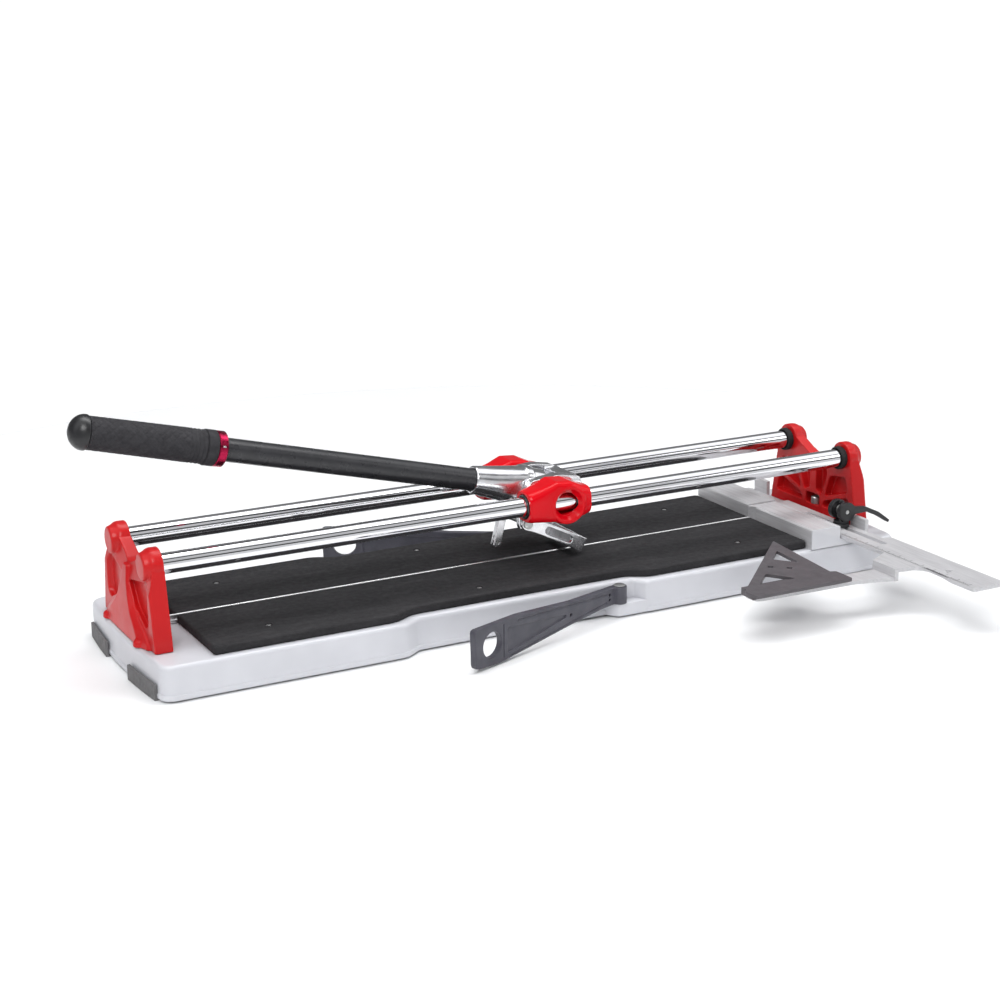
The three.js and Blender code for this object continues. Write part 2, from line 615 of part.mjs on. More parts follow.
function wheelHolder() {
  const leg = box([-38.5, -29.5], [-4, 4], [-72.3, -15]);
  const fork = box([-45, -20], [-1.5, 1.5], [-80, -61]);
  const axleHole = rod(Y_AXIS, 1.9, [WHEEL_AXLE.x, -6, WHEEL_AXLE.z], 12, { segments: 20 });
  return cut(leg, fork, axleHole);
}

const wheelHolderScrew = () => (
  rod(Y_AXIS, 2.5, [WHEEL_AXLE.x, -20, LEG_SCREW_Z], 15.6, { segments: 20 })
);

const wheelAxle = () => rod(Y_AXIS, 1.6, [0, -3.9, 0], 7.8, { segments: 20 });

function scoringWheel() {
  const rim = WHEEL_RADIUS + 1.2;
  const profile = [[2, -1.2], [WHEEL_RADIUS, -1.2], [rim, 0], [WHEEL_RADIUS, 1.2], [2, 1.2], [2, -1.2]]
    .map(([r, h]) => new THREE.Vector2(r, h));
  return solid(new THREE.LatheGeometry(profile, 28));
}

// ---------------------------------------------------------------- breaker foot (pin at the origin)
// Two slotted side plates, drawn level and then tilted down, with a bar across them and a toe.
function breakerFoot() {
  const plateShape = outline([
    [0, -7.5], [14, -5.8], [82, -5.8, 1.5], [82, 10.6, 1.5], [14, 9.4], [0, 7.5],
  ]);
  const slot = outline([[25, -2.6, 4.4], [64, -2.6, 4.4], [64, 6.4, 4.4], [25, 6.4, 4.4]]);
  const plates = [[-33, -28.4], [28.4, 33]].map(([from, to]) => (
    join(alongY(plateShape, from, to), rod(Y_AXIS, 7.5, [0, from, 0], to - from))
      .subtract(alongY(slot, from - 1, to + 1))
  ));
  const bar = rod(Y_AXIS, 3.4, [19, -30, 1.5], 60);
  const toe = alongY(outline([[70, -6.8, 1], [82, -6.8, 1], [82, 10.6, 1], [70, 10.6, 1]]), -33, 33);
  const body = cut(join(...plates, bar, toe), rod(Y_AXIS, 4.3, [0, -40, 0], 80));
  return solid(surface(body).applyMatrix4(new THREE.Matrix4().makeRotationY(BREAKER_TILT)));
}

// ---------------------------------------------------------------- assembly
const cutter = new THREE.Group();
const SIDES = { front: -1, rear: 1 };
const ENDS = { left: 1, right: -1 };

// Moves a body built for the left-hand end to its place, mirrored if it goes to the right-hand end.
function atEnd(body, end) {
  const handed = end === 'left' ? body : body.mirror([1, 0, 0]);
  return handed.translate([SUPPORT_X[end], 0, 0]);
}

function addGroup(parent, x, y, z, turn = {}) {
  const group = new THREE.Group();
  group.position.set(x, y, z);
  group.rotation.set(turn.x ?? 0, turn.y ?? 0, turn.z ?? 0);
  parent.add(group);
  return group;
}

addPiece(cutter, 'base_casting', baseCasting(), whitePaint);
addPiece(cutter, 'ridge_bar', ridgeBar(), steel);
addPiece(cutter, 'fence_block', fenceBlock(), aluminium);
addPiece(cutter, 'centre_foot', centreFoot(), footRubber);
addPiece(cutter, 'cam_stud', camStud(), steel);
addPiece(cutter, 'cam_nut', camNut(), steel);
addPiece(cutter, 'cam_shoe', camShoe(), blackPlastic);
addPiece(cutter, 'cam_pin', camPin(), steel);

for (const [side, sign] of Object.entries(SIDES)) {
  addPiece(cutter, `pad_${side}`, pad(sign), padRubber);
  addPiece(cutter, `rail_${side}`, rail(sign), chrome);
  addPiece(cutter, `bumper_${side}`, bumper(sign), blackPlastic);
}

for (const [end, sign] of Object.entries(ENDS)) {
  addPiece(cutter, `${end}_support`, atEnd(supportCasting(), end), redPaint);
  addPiece(cutter, `${end}_support_bolt`, atEnd(supportBolt(), end), steel);
  for (const [side, sideSign] of Object.entries(SIDES)) {
    addPiece(cutter, `rail_screw_${end}_${side}`, atEnd(railScrew(sideSign), end), steel);
    addPiece(cutter, `foot_${end}_${side}`, endFoot(-sign, sideSign * FOOT_Y), footRubber);
  }
}

for (const [side, sign] of Object.entries(SIDES)) {
  const hinge = addGroup(cutter, ARM_HINGE.x, sign * ARM_HINGE.y, ARM_HINGE.z);
  addPiece(hinge, `arm_pin_${side}`, armPin(), steel);
  const arm = addGroup(hinge, 0, 0, 0, { z: -sign * ARM_SWING[side] });
  addPiece(arm, `arm_${side}`, sideArm(-sign), armPlastic);
}

const stop = addGroup(cutter, 0, 0, 0);
addPiece(stop, 'side_stop', sideStop(), aluminium);
addPiece(stop, 'square_plate', squarePlate(), squarePlastic);

const camGroup = addGroup(cutter, CAM.x, CAM.y, CAM.z);
addPiece(camGroup, 'cam_lever', camLever(), blackPlastic);

const carriage = addGroup(cutter, PIVOT.x, 0, RAIL_Z);
addPiece(carriage, 'carriage_body', carriageBody(), chrome);
addPiece(carriage, 'magnet', breakerMagnet(), steel);
addPiece(carriage, 'pivot_bolt', pivotBolt(), steel);
addPiece(carriage, 'breaker_pin', breakerPin(), steel);
for (const [side, sign] of Object.entries(SIDES)) {
  addPiece(carriage, `housing_${side}`, carriageHousing(sign), redPaint);
  addPiece(carriage, `rail_bush_${side}_left`, railBush(sign, HOUSING.left - 1, HOUSING.left + 16), blackPlastic);
  addPiece(carriage, `rail_bush_${side}_right`, railBush(sign, HOUSING.right - 16, HOUSING.right + 1), blackPlastic);
}

const lever = addGroup(carriage, 0, 0, PIVOT.z - RAIL_Z, { y: LEVER_TILT });
addPiece(lever, 'lever_holder', leverHolder(), chrome);
addPiece(lever, 'lever_tube', leverTube(), leverPaint);
addPiece(lever, 'grip', grip(), gripRubber);
addPiece(lever, 'grip_end_cap', gripCap(), blackPlastic);
addPiece(lever, 'grip_ring', gripRing(), anodised);
addPiece(lever, 'ring_screw', ringScrew(), steel);
addPiece(lever, 'wheel_holder', wheelHolder(), steel);
addPiece(lever, 'wheel_holder_screw', wheelHolderScrew(), steel);
const wheel = addGroup(lever, WHEEL_AXLE.x, 0, WHEEL_AXLE.z);
addPiece(wheel, 'wheel_axle', wheelAxle(), steel);
addPiece(wheel, 'scoring_wheel', scoringWheel(), chrome);

const breaker = addGroup(carriage, BREAKER_PIN.x - PIVOT.x, 0, BREAKER_PIN.z - RAIL_Z);
addPiece(breaker, 'breaker_foot', breakerFoot(), chrome);

export default cutter;
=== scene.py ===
"""Detailed visual model of the manual tile cutter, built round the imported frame.

Shapes are written in millimetres, with X along the rails and Z up, and turned into metres when a
mesh is made. Pieces of the lever are written about its pivot, with the handle along -X.
"""
import json
import math

import bmesh
import bpy
from mathutils import Matrix, Vector


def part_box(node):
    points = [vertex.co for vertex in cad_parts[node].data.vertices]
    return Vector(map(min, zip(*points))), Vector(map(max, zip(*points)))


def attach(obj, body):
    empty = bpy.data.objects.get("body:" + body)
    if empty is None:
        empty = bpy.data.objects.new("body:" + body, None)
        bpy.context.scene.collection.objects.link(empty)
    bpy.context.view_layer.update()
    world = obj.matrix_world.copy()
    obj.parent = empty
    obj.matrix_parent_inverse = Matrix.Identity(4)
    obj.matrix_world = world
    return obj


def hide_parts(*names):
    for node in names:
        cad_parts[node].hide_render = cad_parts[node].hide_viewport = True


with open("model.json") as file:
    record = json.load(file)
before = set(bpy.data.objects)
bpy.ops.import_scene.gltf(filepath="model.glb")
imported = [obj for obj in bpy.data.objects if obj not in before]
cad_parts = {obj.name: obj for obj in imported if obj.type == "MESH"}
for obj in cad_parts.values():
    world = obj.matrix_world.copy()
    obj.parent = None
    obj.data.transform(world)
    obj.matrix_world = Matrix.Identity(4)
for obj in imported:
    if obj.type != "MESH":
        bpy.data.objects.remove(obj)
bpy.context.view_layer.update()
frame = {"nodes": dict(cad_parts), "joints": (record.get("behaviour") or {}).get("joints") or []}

MM = 0.001

# ------------------------------------------------------------------ places taken from the frame
joints = {joint["name"]: joint for joint in frame["joints"]}


def node_box(node):
    """Lowest and highest corner of a CAD node, in millimetres."""
    low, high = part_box(node)
    return low / MM, high / MM


def joint_place(name):
    return Vector(joints[name]["pos_m"]) / MM


PIVOT = joint_place("lever_hinge")
CAM_PIN = joint_place("cam_hinge")
WHEEL = joint_place("wheel_spin")
LEVER_TILT = math.radians(14)  # how far the handle points up in the photograph
LEVER = Matrix.Translation(PIVOT * MM) @ Matrix.Rotation(LEVER_TILT, 4, "Y")
RAIL_LOW, RAIL_HIGH = node_box("rail_front")
RAIL_RADIUS = (RAIL_HIGH.z - RAIL_LOW.z) / 2
RAIL_Z = (RAIL_HIGH.z + RAIL_LOW.z) / 2
RAIL_Y = -(RAIL_HIGH.y + RAIL_LOW.y) / 2
RAIL_BORE = RAIL_RADIUS + 0.3  # the hole in anything that goes round a rail
BASE_TOP = node_box("base_casting")[1].z
PAD_LOW, PAD_HIGH = node_box("pad_rear")
SIDES = {"front": -1, "rear": 1}
ENDS = {"left": -1, "right": 1}
SUPPORT_FACE = {"left": node_box("left_support")[1].x, "right": node_box("right_support")[0].x}


# ------------------------------------------------------------------ mesh helpers
def make_object(name, vertices, faces):
    """A mesh object from points in millimetres, with its faces turned outwards."""
    mesh = bpy.data.meshes.new(name)
    mesh.from_pydata([Vector(v) * MM for v in vertices], [], faces)
    work = bmesh.new()
    work.from_mesh(mesh)
    bmesh.ops.remove_doubles(work, verts=work.verts, dist=1e-6)
    bmesh.ops.recalc_face_normals(work, faces=work.faces)
    work.to_mesh(mesh)
    work.free()
    obj = bpy.data.objects.new(name, mesh)
    bpy.context.scene.collection.objects.link(obj)
    return obj


def on_axis(axis, u, v, w):
    """A point at w along the axis and u, v along the other two, in X, Y, Z order."""
    return {"X": (w, u, v), "Y": (u, w, v), "Z": (u, v, w)}[axis]


def circle(radius, count=48, centre=(0.0, 0.0)):
    step = 2 * math.pi / count
    return [(centre[0] + radius * math.cos(i * step), centre[1] + radius * math.sin(i * step))
            for i in range(count)]


def rounded(points, radius=0.0, steps=5):
    """A closed outline with its corners rounded; a third value is a corner's own radius."""
    result = []
    count = len(points)
    for i, point in enumerate(points):
        corner = Vector(point[:2])
        before = Vector(points[i - 1][:2]) - corner
        after = Vector(points[(i + 1) % count][:2]) - corner
        turn = point[2] if len(point) > 2 else radius
        reach = min(turn, before.length * 0.48, after.length * 0.48)
        if reach < 1e-3:
            result.append(tuple(corner))
            continue
        start = corner + before.normalized() * reach
        end = corner + after.normalized() * reach
        for k in range(steps + 1):
            t = k / steps
            result.append(tuple(start * (1 - t) ** 2 + corner * 2 * t * (1 - t) + end * t ** 2))
    return result


def loft(name, rings, closed=False):
    """A solid through rings of equal length; closed joins the last ring to the first."""
    count = len(rings[0])
    vertices = [point for ring in rings for point in ring]
    spans = len(rings) if closed else len(rings) - 1
    faces = []
    for k in range(spans):
        near, far = k * count, ((k + 1) % len(rings)) * count
        for i in range(count):
            j = (i + 1) % count
            faces.append((near + i, near + j, far + j, far + i))
    if not closed:
        faces.append(tuple(range(count)))
        faces.append(tuple(reversed(range((len(rings) - 1) * count, len(rings) * count))))
    return make_object(name, vertices, faces)


def prism(name, outline, axis, low, high):
    return loft(name, [[on_axis(axis, u, v, w) for u, v in outline] for w in (low, high)])


def tapered(name, stations, axis):
    """A solid through (place, outline) stations along an axis."""
    return loft(name, [[on_axis(axis, u, v, w) for u, v in outline] for w, outline in stations])


def turned(name, profile, axis, centre, count=64, closed=False):
    """A round solid from (radius, place along the axis) pairs about a centre in the other two axes."""
    rings = [[on_axis(axis, u, v, w) for u, v in circle(max(r, 1e-4), count, centre)]
             for r, w in profile]
    return loft(name, rings, closed)


def sleeve(name, outer, inner, axis, centre, low, high, edge, count):
    """A tube with chamfered mouths."""
    profile = [(inner, low + edge), (inner + edge, low), (outer - edge, low), (outer, low + edge),
               (outer, high - edge), (outer - edge, high), (inner + edge, high), (inner, high - edge)]
    return turned(name, profile, axis, centre, count, closed=True)


def around(place, half):
    return place - half, place + half


def block(name, x, y, z):
    return prism(name, [(x[0], y[0]), (x[1], y[0]), (x[1], y[1]), (x[0], y[1])], "Z", *z)


def bake(obj):
    """Turns an object's modifiers into its mesh."""
    bpy.context.view_layer.update()
    graph = bpy.context.evaluated_depsgraph_get()
    mesh = bpy.data.meshes.new_from_object(obj.evaluated_get(graph))
    obj.modifiers.clear()
    obj.data = mesh
    return obj


def combine(obj, others, operation):
    for other in others:
        modifier = obj.modifiers.new("join", "BOOLEAN")
        modifier.operation = operation
        modifier.solver = "EXACT"
        modifier.object = other
        bake(obj)
        bpy.data.objects.remove(other)
    return obj


def weld(obj, *others):
    return combine(obj, others, "UNION")


def carve(obj, *others):
    return combine(obj, others, "DIFFERENCE")


SHARP = math.radians(28)  # an edge that bends more than this is rounded
FLAT = math.radians(0.8)  # faces that bend less than this are joined first


def soften(obj, width, segments=3):
    """Rounds the sharp edges."""
    work = bmesh.new()
    work.from_mesh(obj.data)
    bmesh.ops.remove_doubles(work, verts=work.verts, dist=2e-6)
    bmesh.ops.dissolve_limit(work, angle_limit=FLAT, verts=work.verts, edges=work.edges)
    work.to_mesh(obj.data)
    work.free()
    bevel = obj.modifiers.new("bevel", "BEVEL")
    bevel.width = width * MM
    bevel.segments = segments
    bevel.limit_method = "ANGLE"
    bevel.angle_limit = SHARP
    bevel.use_clamp_overlap = True
    bevel.harden_normals = False
    return bake(obj)


def cast(obj, voxel, passes):
    """Turns a rough solid into a casting with blended corners."""
    remesh = obj.modifiers.new("skin", "REMESH")
    remesh.mode = "VOXEL"
    remesh.voxel_size = voxel * MM
    remesh.adaptivity = 0.0
    smooth = obj.modifiers.new("smooth", "SMOOTH")
    smooth.factor = 0.5
    smooth.iterations = passes
    return bake(obj)


def moved(obj, matrix):
    obj.data.transform(matrix)
    if matrix.determinant() < 0:
        obj.data.flip_normals()
    return obj


def mirrored(obj, axis):
    scale = Vector([-1 if name == axis else 1 for name in "XYZ"])
    return moved(obj, Matrix.Diagonal(scale.to_4d()))


def cad_copy(name, node):
    """A new object with a copy of a CAD node's mesh."""
    obj = bpy.data.objects.new(name, frame["nodes"][node].data.copy())
    bpy.context.scene.collection.objects.link(obj)
    return obj


def piece(obj, body, look, nodes=(), crease=35):
    """Finishes a piece: its shading, its material and the CAD nodes that it stands for."""
    mesh = obj.data
    mesh.materials.clear()
    mesh.materials.append(look)
    mesh.polygons.foreach_set("use_smooth", [True] * len(mesh.polygons))
    mesh.polygons.foreach_set("material_index", [0] * len(mesh.polygons))
    mesh.set_sharp_from_angle(angle=math.radians(crease))
    even = obj.modifiers.new("even", "WEIGHTED_NORMAL")
    even.keep_sharp = True
    bake(obj)
    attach(obj, body)
    if nodes:
        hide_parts(*([nodes] if isinstance(nodes, str) else nodes))
    return obj


# ------------------------------------------------------------------ materials
CORNER_RANGE = (0.53, 0.6)  # pointiness where the painted edge highlight and the wear start and where they are full


class Look:
    """A procedural material on object coordinates, with its principled shader."""

    def __init__(self, name, roughness, metallic=0.0, **sockets):
        self.material = bpy.data.materials.new(name)
        self.material.use_nodes = True
        self.nodes = self.material.node_tree.nodes
        self.shader = self.nodes["Principled BSDF"]
        self.shader.inputs["Metallic"].default_value = metallic
        self.shader.inputs["Roughness"].default_value = roughness
        for socket, value in sockets.items():
            self.shader.inputs[socket.replace("_", " ")].default_value = value
        self.coordinates = self.nodes.new("ShaderNodeTexCoord")
        self.normal = None

    def link(self, source, target):
        self.material.node_tree.links.new(source, target)

    def place(self, stretch=(1, 1, 1)):
        mapping = self.nodes.new("ShaderNodeMapping")
        mapping.inputs["Scale"].default_value = stretch
        self.link(self.coordinates.outputs["Object"], mapping.inputs["Vector"])
        return mapping.outputs["Vector"]

    def noise(self, size, stretch=(1, 1, 1), detail=3.0, roughness=0.5):
        """Noise whose features are about size millimetres across."""
        noise = self.nodes.new("ShaderNodeTexNoise")
        noise.inputs["Scale"].default_value = 1 / (size * MM)
        noise.inputs["Detail"].default_value = detail
        noise.inputs["Roughness"].default_value = roughness
        self.link(self.place(stretch), noise.inputs["Vector"])
        return noise.outputs["Fac"]

    def cells(self, size):
        """Rounded cells about size millimetres across."""
        cells = self.nodes.new("ShaderNodeTexVoronoi")
        cells.inputs["Scale"].default_value = 1 / (size * MM)
        self.link(self.place(), cells.inputs["Vector"])
        return cells.outputs["Distance"]

    def spread(self, value, low, high, start=0.3, end=0.7):
        """Maps a noise value from start..end to low..high."""
        spread = self.nodes.new("ShaderNodeMapRange")
        spread.inputs["From Min"].default_value = start
        spread.inputs["From Max"].default_value = end
        spread.inputs["To Min"].default_value = low
        spread.inputs["To Max"].default_value = high
        self.link(value, spread.inputs["Value"])
        return spread.outputs["Result"]

    def blend(self, factor, first, second):
        """A colour between two colours or colour outputs."""
        mix = self.nodes.new("ShaderNodeMix")
        mix.data_type = "RGBA"
        self.link(factor, mix.inputs["Factor"])
        for socket, value in ((mix.inputs[6], first), (mix.inputs[7], second)):
            if isinstance(value, bpy.types.NodeSocket):
                self.link(value, socket)
            else:
                socket.default_value = (*value, 1)
        return mix.outputs[2]

    def colour(self, output):
        self.link(output, self.shader.inputs["Base Color"])

    def mottle(self, first, second, size, **noise):
        output = self.blend(self.spread(self.noise(size, **noise), 0, 1), first, second)
        self.colour(output)
        return output

    def sheen_range(self, low, high, size, **noise):
        """Roughness that wanders between two values."""
        self.link(self.spread(self.noise(size, **noise), low, high), self.shader.inputs["Roughness"])

    def bump(self, height, depth, strength):
        """Adds a bump of a depth in millimetres on top of the earlier ones."""
        bump = self.nodes.new("ShaderNodeBump")
        bump.inputs["Strength"].default_value = strength
        bump.inputs["Distance"].default_value = depth * MM
        self.link(height, bump.inputs["Height"])
        if self.normal is not None:
            self.link(self.normal, bump.inputs["Normal"])
        self.normal = bump.outputs["Normal"]
        self.link(self.normal, self.shader.inputs["Normal"])

    def highlight_and_wear_edges(self, output, bright, amount):
        """Lightens the exposed corners: a painted highlight along the rims, and paint thin or rubbed
        there.
        """
        geometry = self.nodes.new("ShaderNodeNewGeometry")
        factor = self.spread(geometry.outputs["Pointiness"], 0, amount, *CORNER_RANGE)
        self.colour(self.blend(factor, output, bright))


def enamel(name, first, second, edge, roughness, coat, specular=0.5):
    look = Look(name, roughness, Coat_Weight=coat, Coat_Roughness=0.08, Specular_IOR_Level=specular)
    tone = look.mottle(first, second, 60, detail=2)
    # the lighter edge colour is a painted highlight along the rims, with some rubbed paint
    look.highlight_and_wear_edges(tone, edge, amount=0.45)
    look.sheen_range(roughness - 0.05, roughness + 0.07, 25)
    look.bump(look.noise(1.3, detail=2), 0.05, 0.35)
    look.bump(look.noise(9, detail=1), 0.25, 0.3)
    return look.material


def moulded(name, first, second, edge, roughness, grain, depth):
    look = Look(name, roughness)
    tone = look.mottle(first, second, 18, detail=4)
    # the lighter edge colour is a painted highlight along the rims, with some rubbed paint
    look.highlight_and_wear_edges(tone, edge, amount=0.35)
    look.sheen_range(roughness - 0.07, roughness + 0.08, 12)
    look.bump(look.noise(grain, detail=3), depth, 0.6)
    return look.material


def metal(name, first, second, roughness, stretch=(1, 1, 1), grain=0.8, depth=0.02, streak=2.5,
          metallic=1.0):
    look = Look(name, roughness, metallic)
    look.mottle(first, second, streak, stretch=stretch, detail=5)
    look.sheen_range(roughness * 0.7, roughness * 1.4, streak * 1.6, stretch=stretch, detail=4)
    look.bump(look.noise(grain, stretch=stretch, detail=3), depth, 0.5)
    return look.material


def foam_material():
    look = Look("bench_foam", 0.85, Specular_IOR_Level=0.25)
    fine = look.blend(look.spread(look.noise(1.1, detail=5), 0, 1), (0.016, 0.0155, 0.017),
                      (0.030, 0.029, 0.031))
    # broad lighter streaks along X: a painted sheen on the foam, mixed into its colour
    painted_sheen_streaks = look.noise(26, stretch=(0.35, 1.6, 1), detail=6, roughness=0.65)
    look.colour(look.blend(look.spread(painted_sheen_streaks, 0, 0.6, 0.48, 0.75), fine, (0.046, 0.044, 0.047)))
    look.sheen_range(0.72, 0.95, 7)
    look.bump(look.cells(0.9), 0.12, 0.7)
    look.bump(look.noise(14, detail=3), 0.3, 0.35)
    return look.material


def rubber_material(name, first, second):
    look = Look(name, 0.75, Specular_IOR_Level=0.3)
    look.mottle(first, second, 9, detail=5)
    look.sheen_range(0.6, 0.88, 4)
    look.bump(look.noise(0.9, detail=4), 0.08, 0.7)
    return look.material


# The third colour of each enamel and moulded look is its edge colour: a painted highlight along the
# rims, with some rubbed paint.
LOOKS = {
    "base_paint": enamel("base_enamel", (0.545, 0.55, 0.585), (0.60, 0.605, 0.64), (0.74, 0.74, 0.76),
                         0.42, 0.25),
    "red_paint": enamel("red_enamel", (0.46, 0.006, 0.008), (0.54, 0.010, 0.011), (0.80, 0.13, 0.10),
                        0.36, 0.16, 0.2),
    "carriage_red": enamel("carriage_enamel", (0.58, 0.001, 0.006), (0.66, 0.002, 0.009),
                           (0.82, 0.05, 0.05), 0.2, 0.14, 0.12),
    "aluminium": metal("drawn_aluminium", (0.50, 0.495, 0.51), (0.60, 0.595, 0.61), 0.45,
                       stretch=(1, 0.05, 1), metallic=0.3),
    "ridge_steel": metal("ground_steel", (0.60, 0.60, 0.61), (0.78, 0.78, 0.78), 0.28,
                         stretch=(0.05, 1, 1)),
    "screw_steel": metal("zinc_steel", (0.42, 0.42, 0.43), (0.60, 0.60, 0.58), 0.36),
    "rail_chrome": metal("hard_chrome", (0.80, 0.80, 0.82), (0.88, 0.88, 0.90), 0.07,
                         stretch=(0.03, 1, 1), depth=0.003),
    "polished_chrome": metal("polished_chrome", (0.74, 0.74, 0.76), (0.88, 0.88, 0.90), 0.2,
                             grain=3.5, depth=0.05, streak=9),
    "wheel_steel": metal("wheel_steel", (0.40, 0.40, 0.42), (0.55, 0.55, 0.57), 0.25),
    "pad_rubber": foam_material(),
    "foot_rubber": rubber_material("foot_rubber", (0.125, 0.122, 0.124), (0.165, 0.162, 0.164)),
    "black_rubber": rubber_material("black_rubber", (0.012, 0.012, 0.013), (0.022, 0.022, 0.023)),
    "grip_rubber": rubber_material("grip_rubber", (0.022, 0.021, 0.024), (0.036, 0.035, 0.039)),
    "black_plastic": moulded("black_nylon", (0.007, 0.007, 0.008), (0.013, 0.013, 0.015),
                             (0.06, 0.06, 0.065), 0.34, 0.6, 0.03),
    "lever_paint": moulded("lever_enamel", (0.012, 0.012, 0.014), (0.022, 0.022, 0.025),
                           (0.05, 0.05, 0.055), 0.3, 0.5, 0.02),
    "ring_anodised": metal("crimson_anodised", (0.34, 0.012, 0.05), (0.46, 0.02, 0.07), 0.26),
    "square_plastic": moulded("square_plastic", (0.066, 0.060, 0.066), (0.088, 0.080, 0.088),
                              (0.15, 0.14, 0.15), 0.5, 0.7, 0.05),
    "arm_plastic": moulded("arm_plastic", (0.040, 0.039, 0.052), (0.062, 0.061, 0.078),
                           (0.14, 0.14, 0.17), 0.46, 0.7, 0.05),
}

# ------------------------------------------------------------------ base and bench
BASE_END = 460.0
BASE_BOW = 13.0
BASE_HALF = 126.5
BASE_CORNER = 15.0
RECESS = {"start": -192.0, "stop": 97.0, "depth": 14.0, "slope_in": 20.0, "slope_out": 10.0}
LEDGE = {"start": 60.0, "stop": 110.0, "inner": 110.0, "outer": 126.4, "slope": 10.0, "low": 2.2,
         "top": 17.0}
CUT_START = 1.0  # below the underside, where the cutters of the base begin
PANEL = {"half_length": 70.0, "half_width": 33.0, "top": 3.4}
PANEL_X = range(-375, 226, 150)
PANEL_Y = (-75, 0, 75)
FOOT_SEAT = {"half_length": 30.3, "half_width": 12.3, "top": 4.0}
ARM_HINGE = joint_place("arm_front_hinge")


def base_outline(inset):
    """The plan of the base moved inwards: bowed ends and a recess in each long side."""
    end, side = BASE_END - inset, BASE_HALF - inset
    deep = side - RECESS["depth"]
    start, stop = RECESS["start"] - inset, RECESS["stop"] + inset
    start_in, stop_out = start + RECESS["slope_in"], stop + RECESS["slope_out"]
    straight = BASE_HALF - BASE_CORNER
    bows = [-80.0, -40.0, 0.0, 40.0, 80.0]

    def bow(y):
        return end + BASE_BOW / 2 * (1 - (y / straight) ** 2)

    points = [(start, -side, 5), (start_in, -deep, 5), (stop, -deep, 3), (stop_out, -side, 4),
              (end, -side, BASE_CORNER)]
    points += [(bow(y), y) for y in bows]
    points += [(end, side, BASE_CORNER), (stop_out, side, 4), (stop, deep, 3),
               (start_in, deep, 5), (start, side, 5), (-end, side, BASE_CORNER)]
    points += [(-bow(y), y) for y in reversed(bows)]
    points += [(-end, -side, BASE_CORNER)]
    return rounded(points)


def ledge_solid(side):
    """The ledge under an arm's hinge."""
    start, stop, inner, outer = (LEDGE[key] for key in ("start", "stop", "inner", "outer"))
    outline = [(start, side * inner), (start, side * (inner + 3)),
               (start + LEDGE["slope"], side * outer, 3), (stop, side * outer), (stop, side * inner)]
    return soften(prism("ledge", rounded(outline), "Z", LEDGE["low"], LEDGE["top"]), 0.9)


def make_base():
    # Height, and how far the plan is drawn in there: a lip, the wall and the rounded top edge.
    steps = [(2, 0.4), (2.4, -0.5), (3.2, -1.0), (6.6, -1.0), (7.6, -0.7), (8.2, 0), (33.6, 0),
             (36.2, 0.45), (38, 1.5), (38.9, 3.0), (BASE_TOP, 5.0)]
    shell = tapered("base_shell", [(z, base_outline(inset)) for z, inset in steps], "Z")
    panels = [block("panel", around(x, PANEL["half_length"]), around(y, PANEL["half_width"]),
                    (CUT_START, PANEL["top"])) for x in PANEL_X for y in PANEL_Y]
    carve(shell, *panels)
    weld(shell, *[ledge_solid(side) for side in SIDES.values()])
    carve(shell, block("seat", around(0, FOOT_SEAT["half_length"]),
                       around(0, FOOT_SEAT["half_width"]), (CUT_START, FOOT_SEAT["top"])))
    piece(shell, "bench", LOOKS["base_paint"], "base_casting", crease=40)


PAD_EDGE = {"start": PAD_LOW.x, "end": PAD_HIGH.x, "outer": PAD_HIGH.y, "inner": 2.5}
PAD_JOG = {"depth": 14.0, "left": (-198.0, -174.0), "right": (92.0, 114.0)}
RIVETS = [(x, 80) for x in (-329, -82, 261)]  # on the rear pad; mirrored on the front one


def pad_outline(side, inset):
    start, end = PAD_EDGE["start"] + inset, PAD_EDGE["end"] - inset
    inner, outer = PAD_EDGE["inner"] + inset, PAD_EDGE["outer"] - inset
    stepped = outer - PAD_JOG["depth"]
    left_out, left_in = (x - inset for x in PAD_JOG["left"])
    right_in, right_out = (x + inset for x in PAD_JOG["right"])
    points = [(start, inner), (start, outer, 4), (left_out, outer, 9), (left_in, stepped, 9),
              (right_in, stepped, 9), (right_out, outer, 9), (end, outer, 4), (end, inner)]
    return rounded([(p[0], side * p[1], *p[2:]) for p in points], 0.6)


def make_pads():
    steps = [(PAD_LOW.z, 0.8), (40.6, 0.15), (41.6, 0), (46.4, 0), (47.6, 0.3), (48.5, 1.0),
             (48.9, 2.0), (PAD_HIGH.z, 3.6)]
    for name, side in SIDES.items():
        sheet = tapered(f"bench_pad_{name}", [(z, pad_outline(side, i)) for z, i in steps], "Z")
        dimples = [turned("dimple", [(3.4, 47.6), (4.2, 50)], "Z", (x, side * y), 32)
                   for x, y in RIVETS]
        carve(sheet, *dimples)
        piece(sheet, "bench", LOOKS["pad_rubber"], f"pad_{name}", crease=40)
    for name, side in SIDES.items():
        for x, y in RIVETS:
            dome = [(0, 47.4), (3.0, 47.4), (3.0, 47.9), (2.4, 48.4), (1.3, 48.7), (0, 48.8)]
            rivet = turned(f"pad_rivet_{name}_{x + 400}", dome, "Z", (x, side * y), 32)
            piece(rivet, "bench", LOOKS["screw_steel"])


def make_ridge():
    low, high = node_box("ridge_bar")
    profile = [(-2.9, low.z), (2.9, low.z), (2.9, 43.4), (1.5, 43.9), (1.5, 48.6), (0.7, high.z),
               (-0.7, high.z), (-1.5, 48.6), (-1.5, 43.9), (-2.9, 43.4)]
    bar = soften(prism("breaking_ridge", profile, "X", low.x, high.x), 0.25, 2)
    piece(bar, "bench", LOOKS["ridge_steel"], "ridge_bar")


def make_feet():
    for end in ENDS:
        for side in SIDES:
            node = f"foot_{end}_{side}"
            foot = soften(cad_copy(f"rubber_{node}", node), 0.8, 3)
            piece(foot, "bench", LOOKS["foot_rubber"], node)
    sole = soften(cad_copy("rubber_centre_foot", "centre_foot"), 0.8, 3)
    piece(sole, "bench", LOOKS["foot_rubber"], "centre_foot")


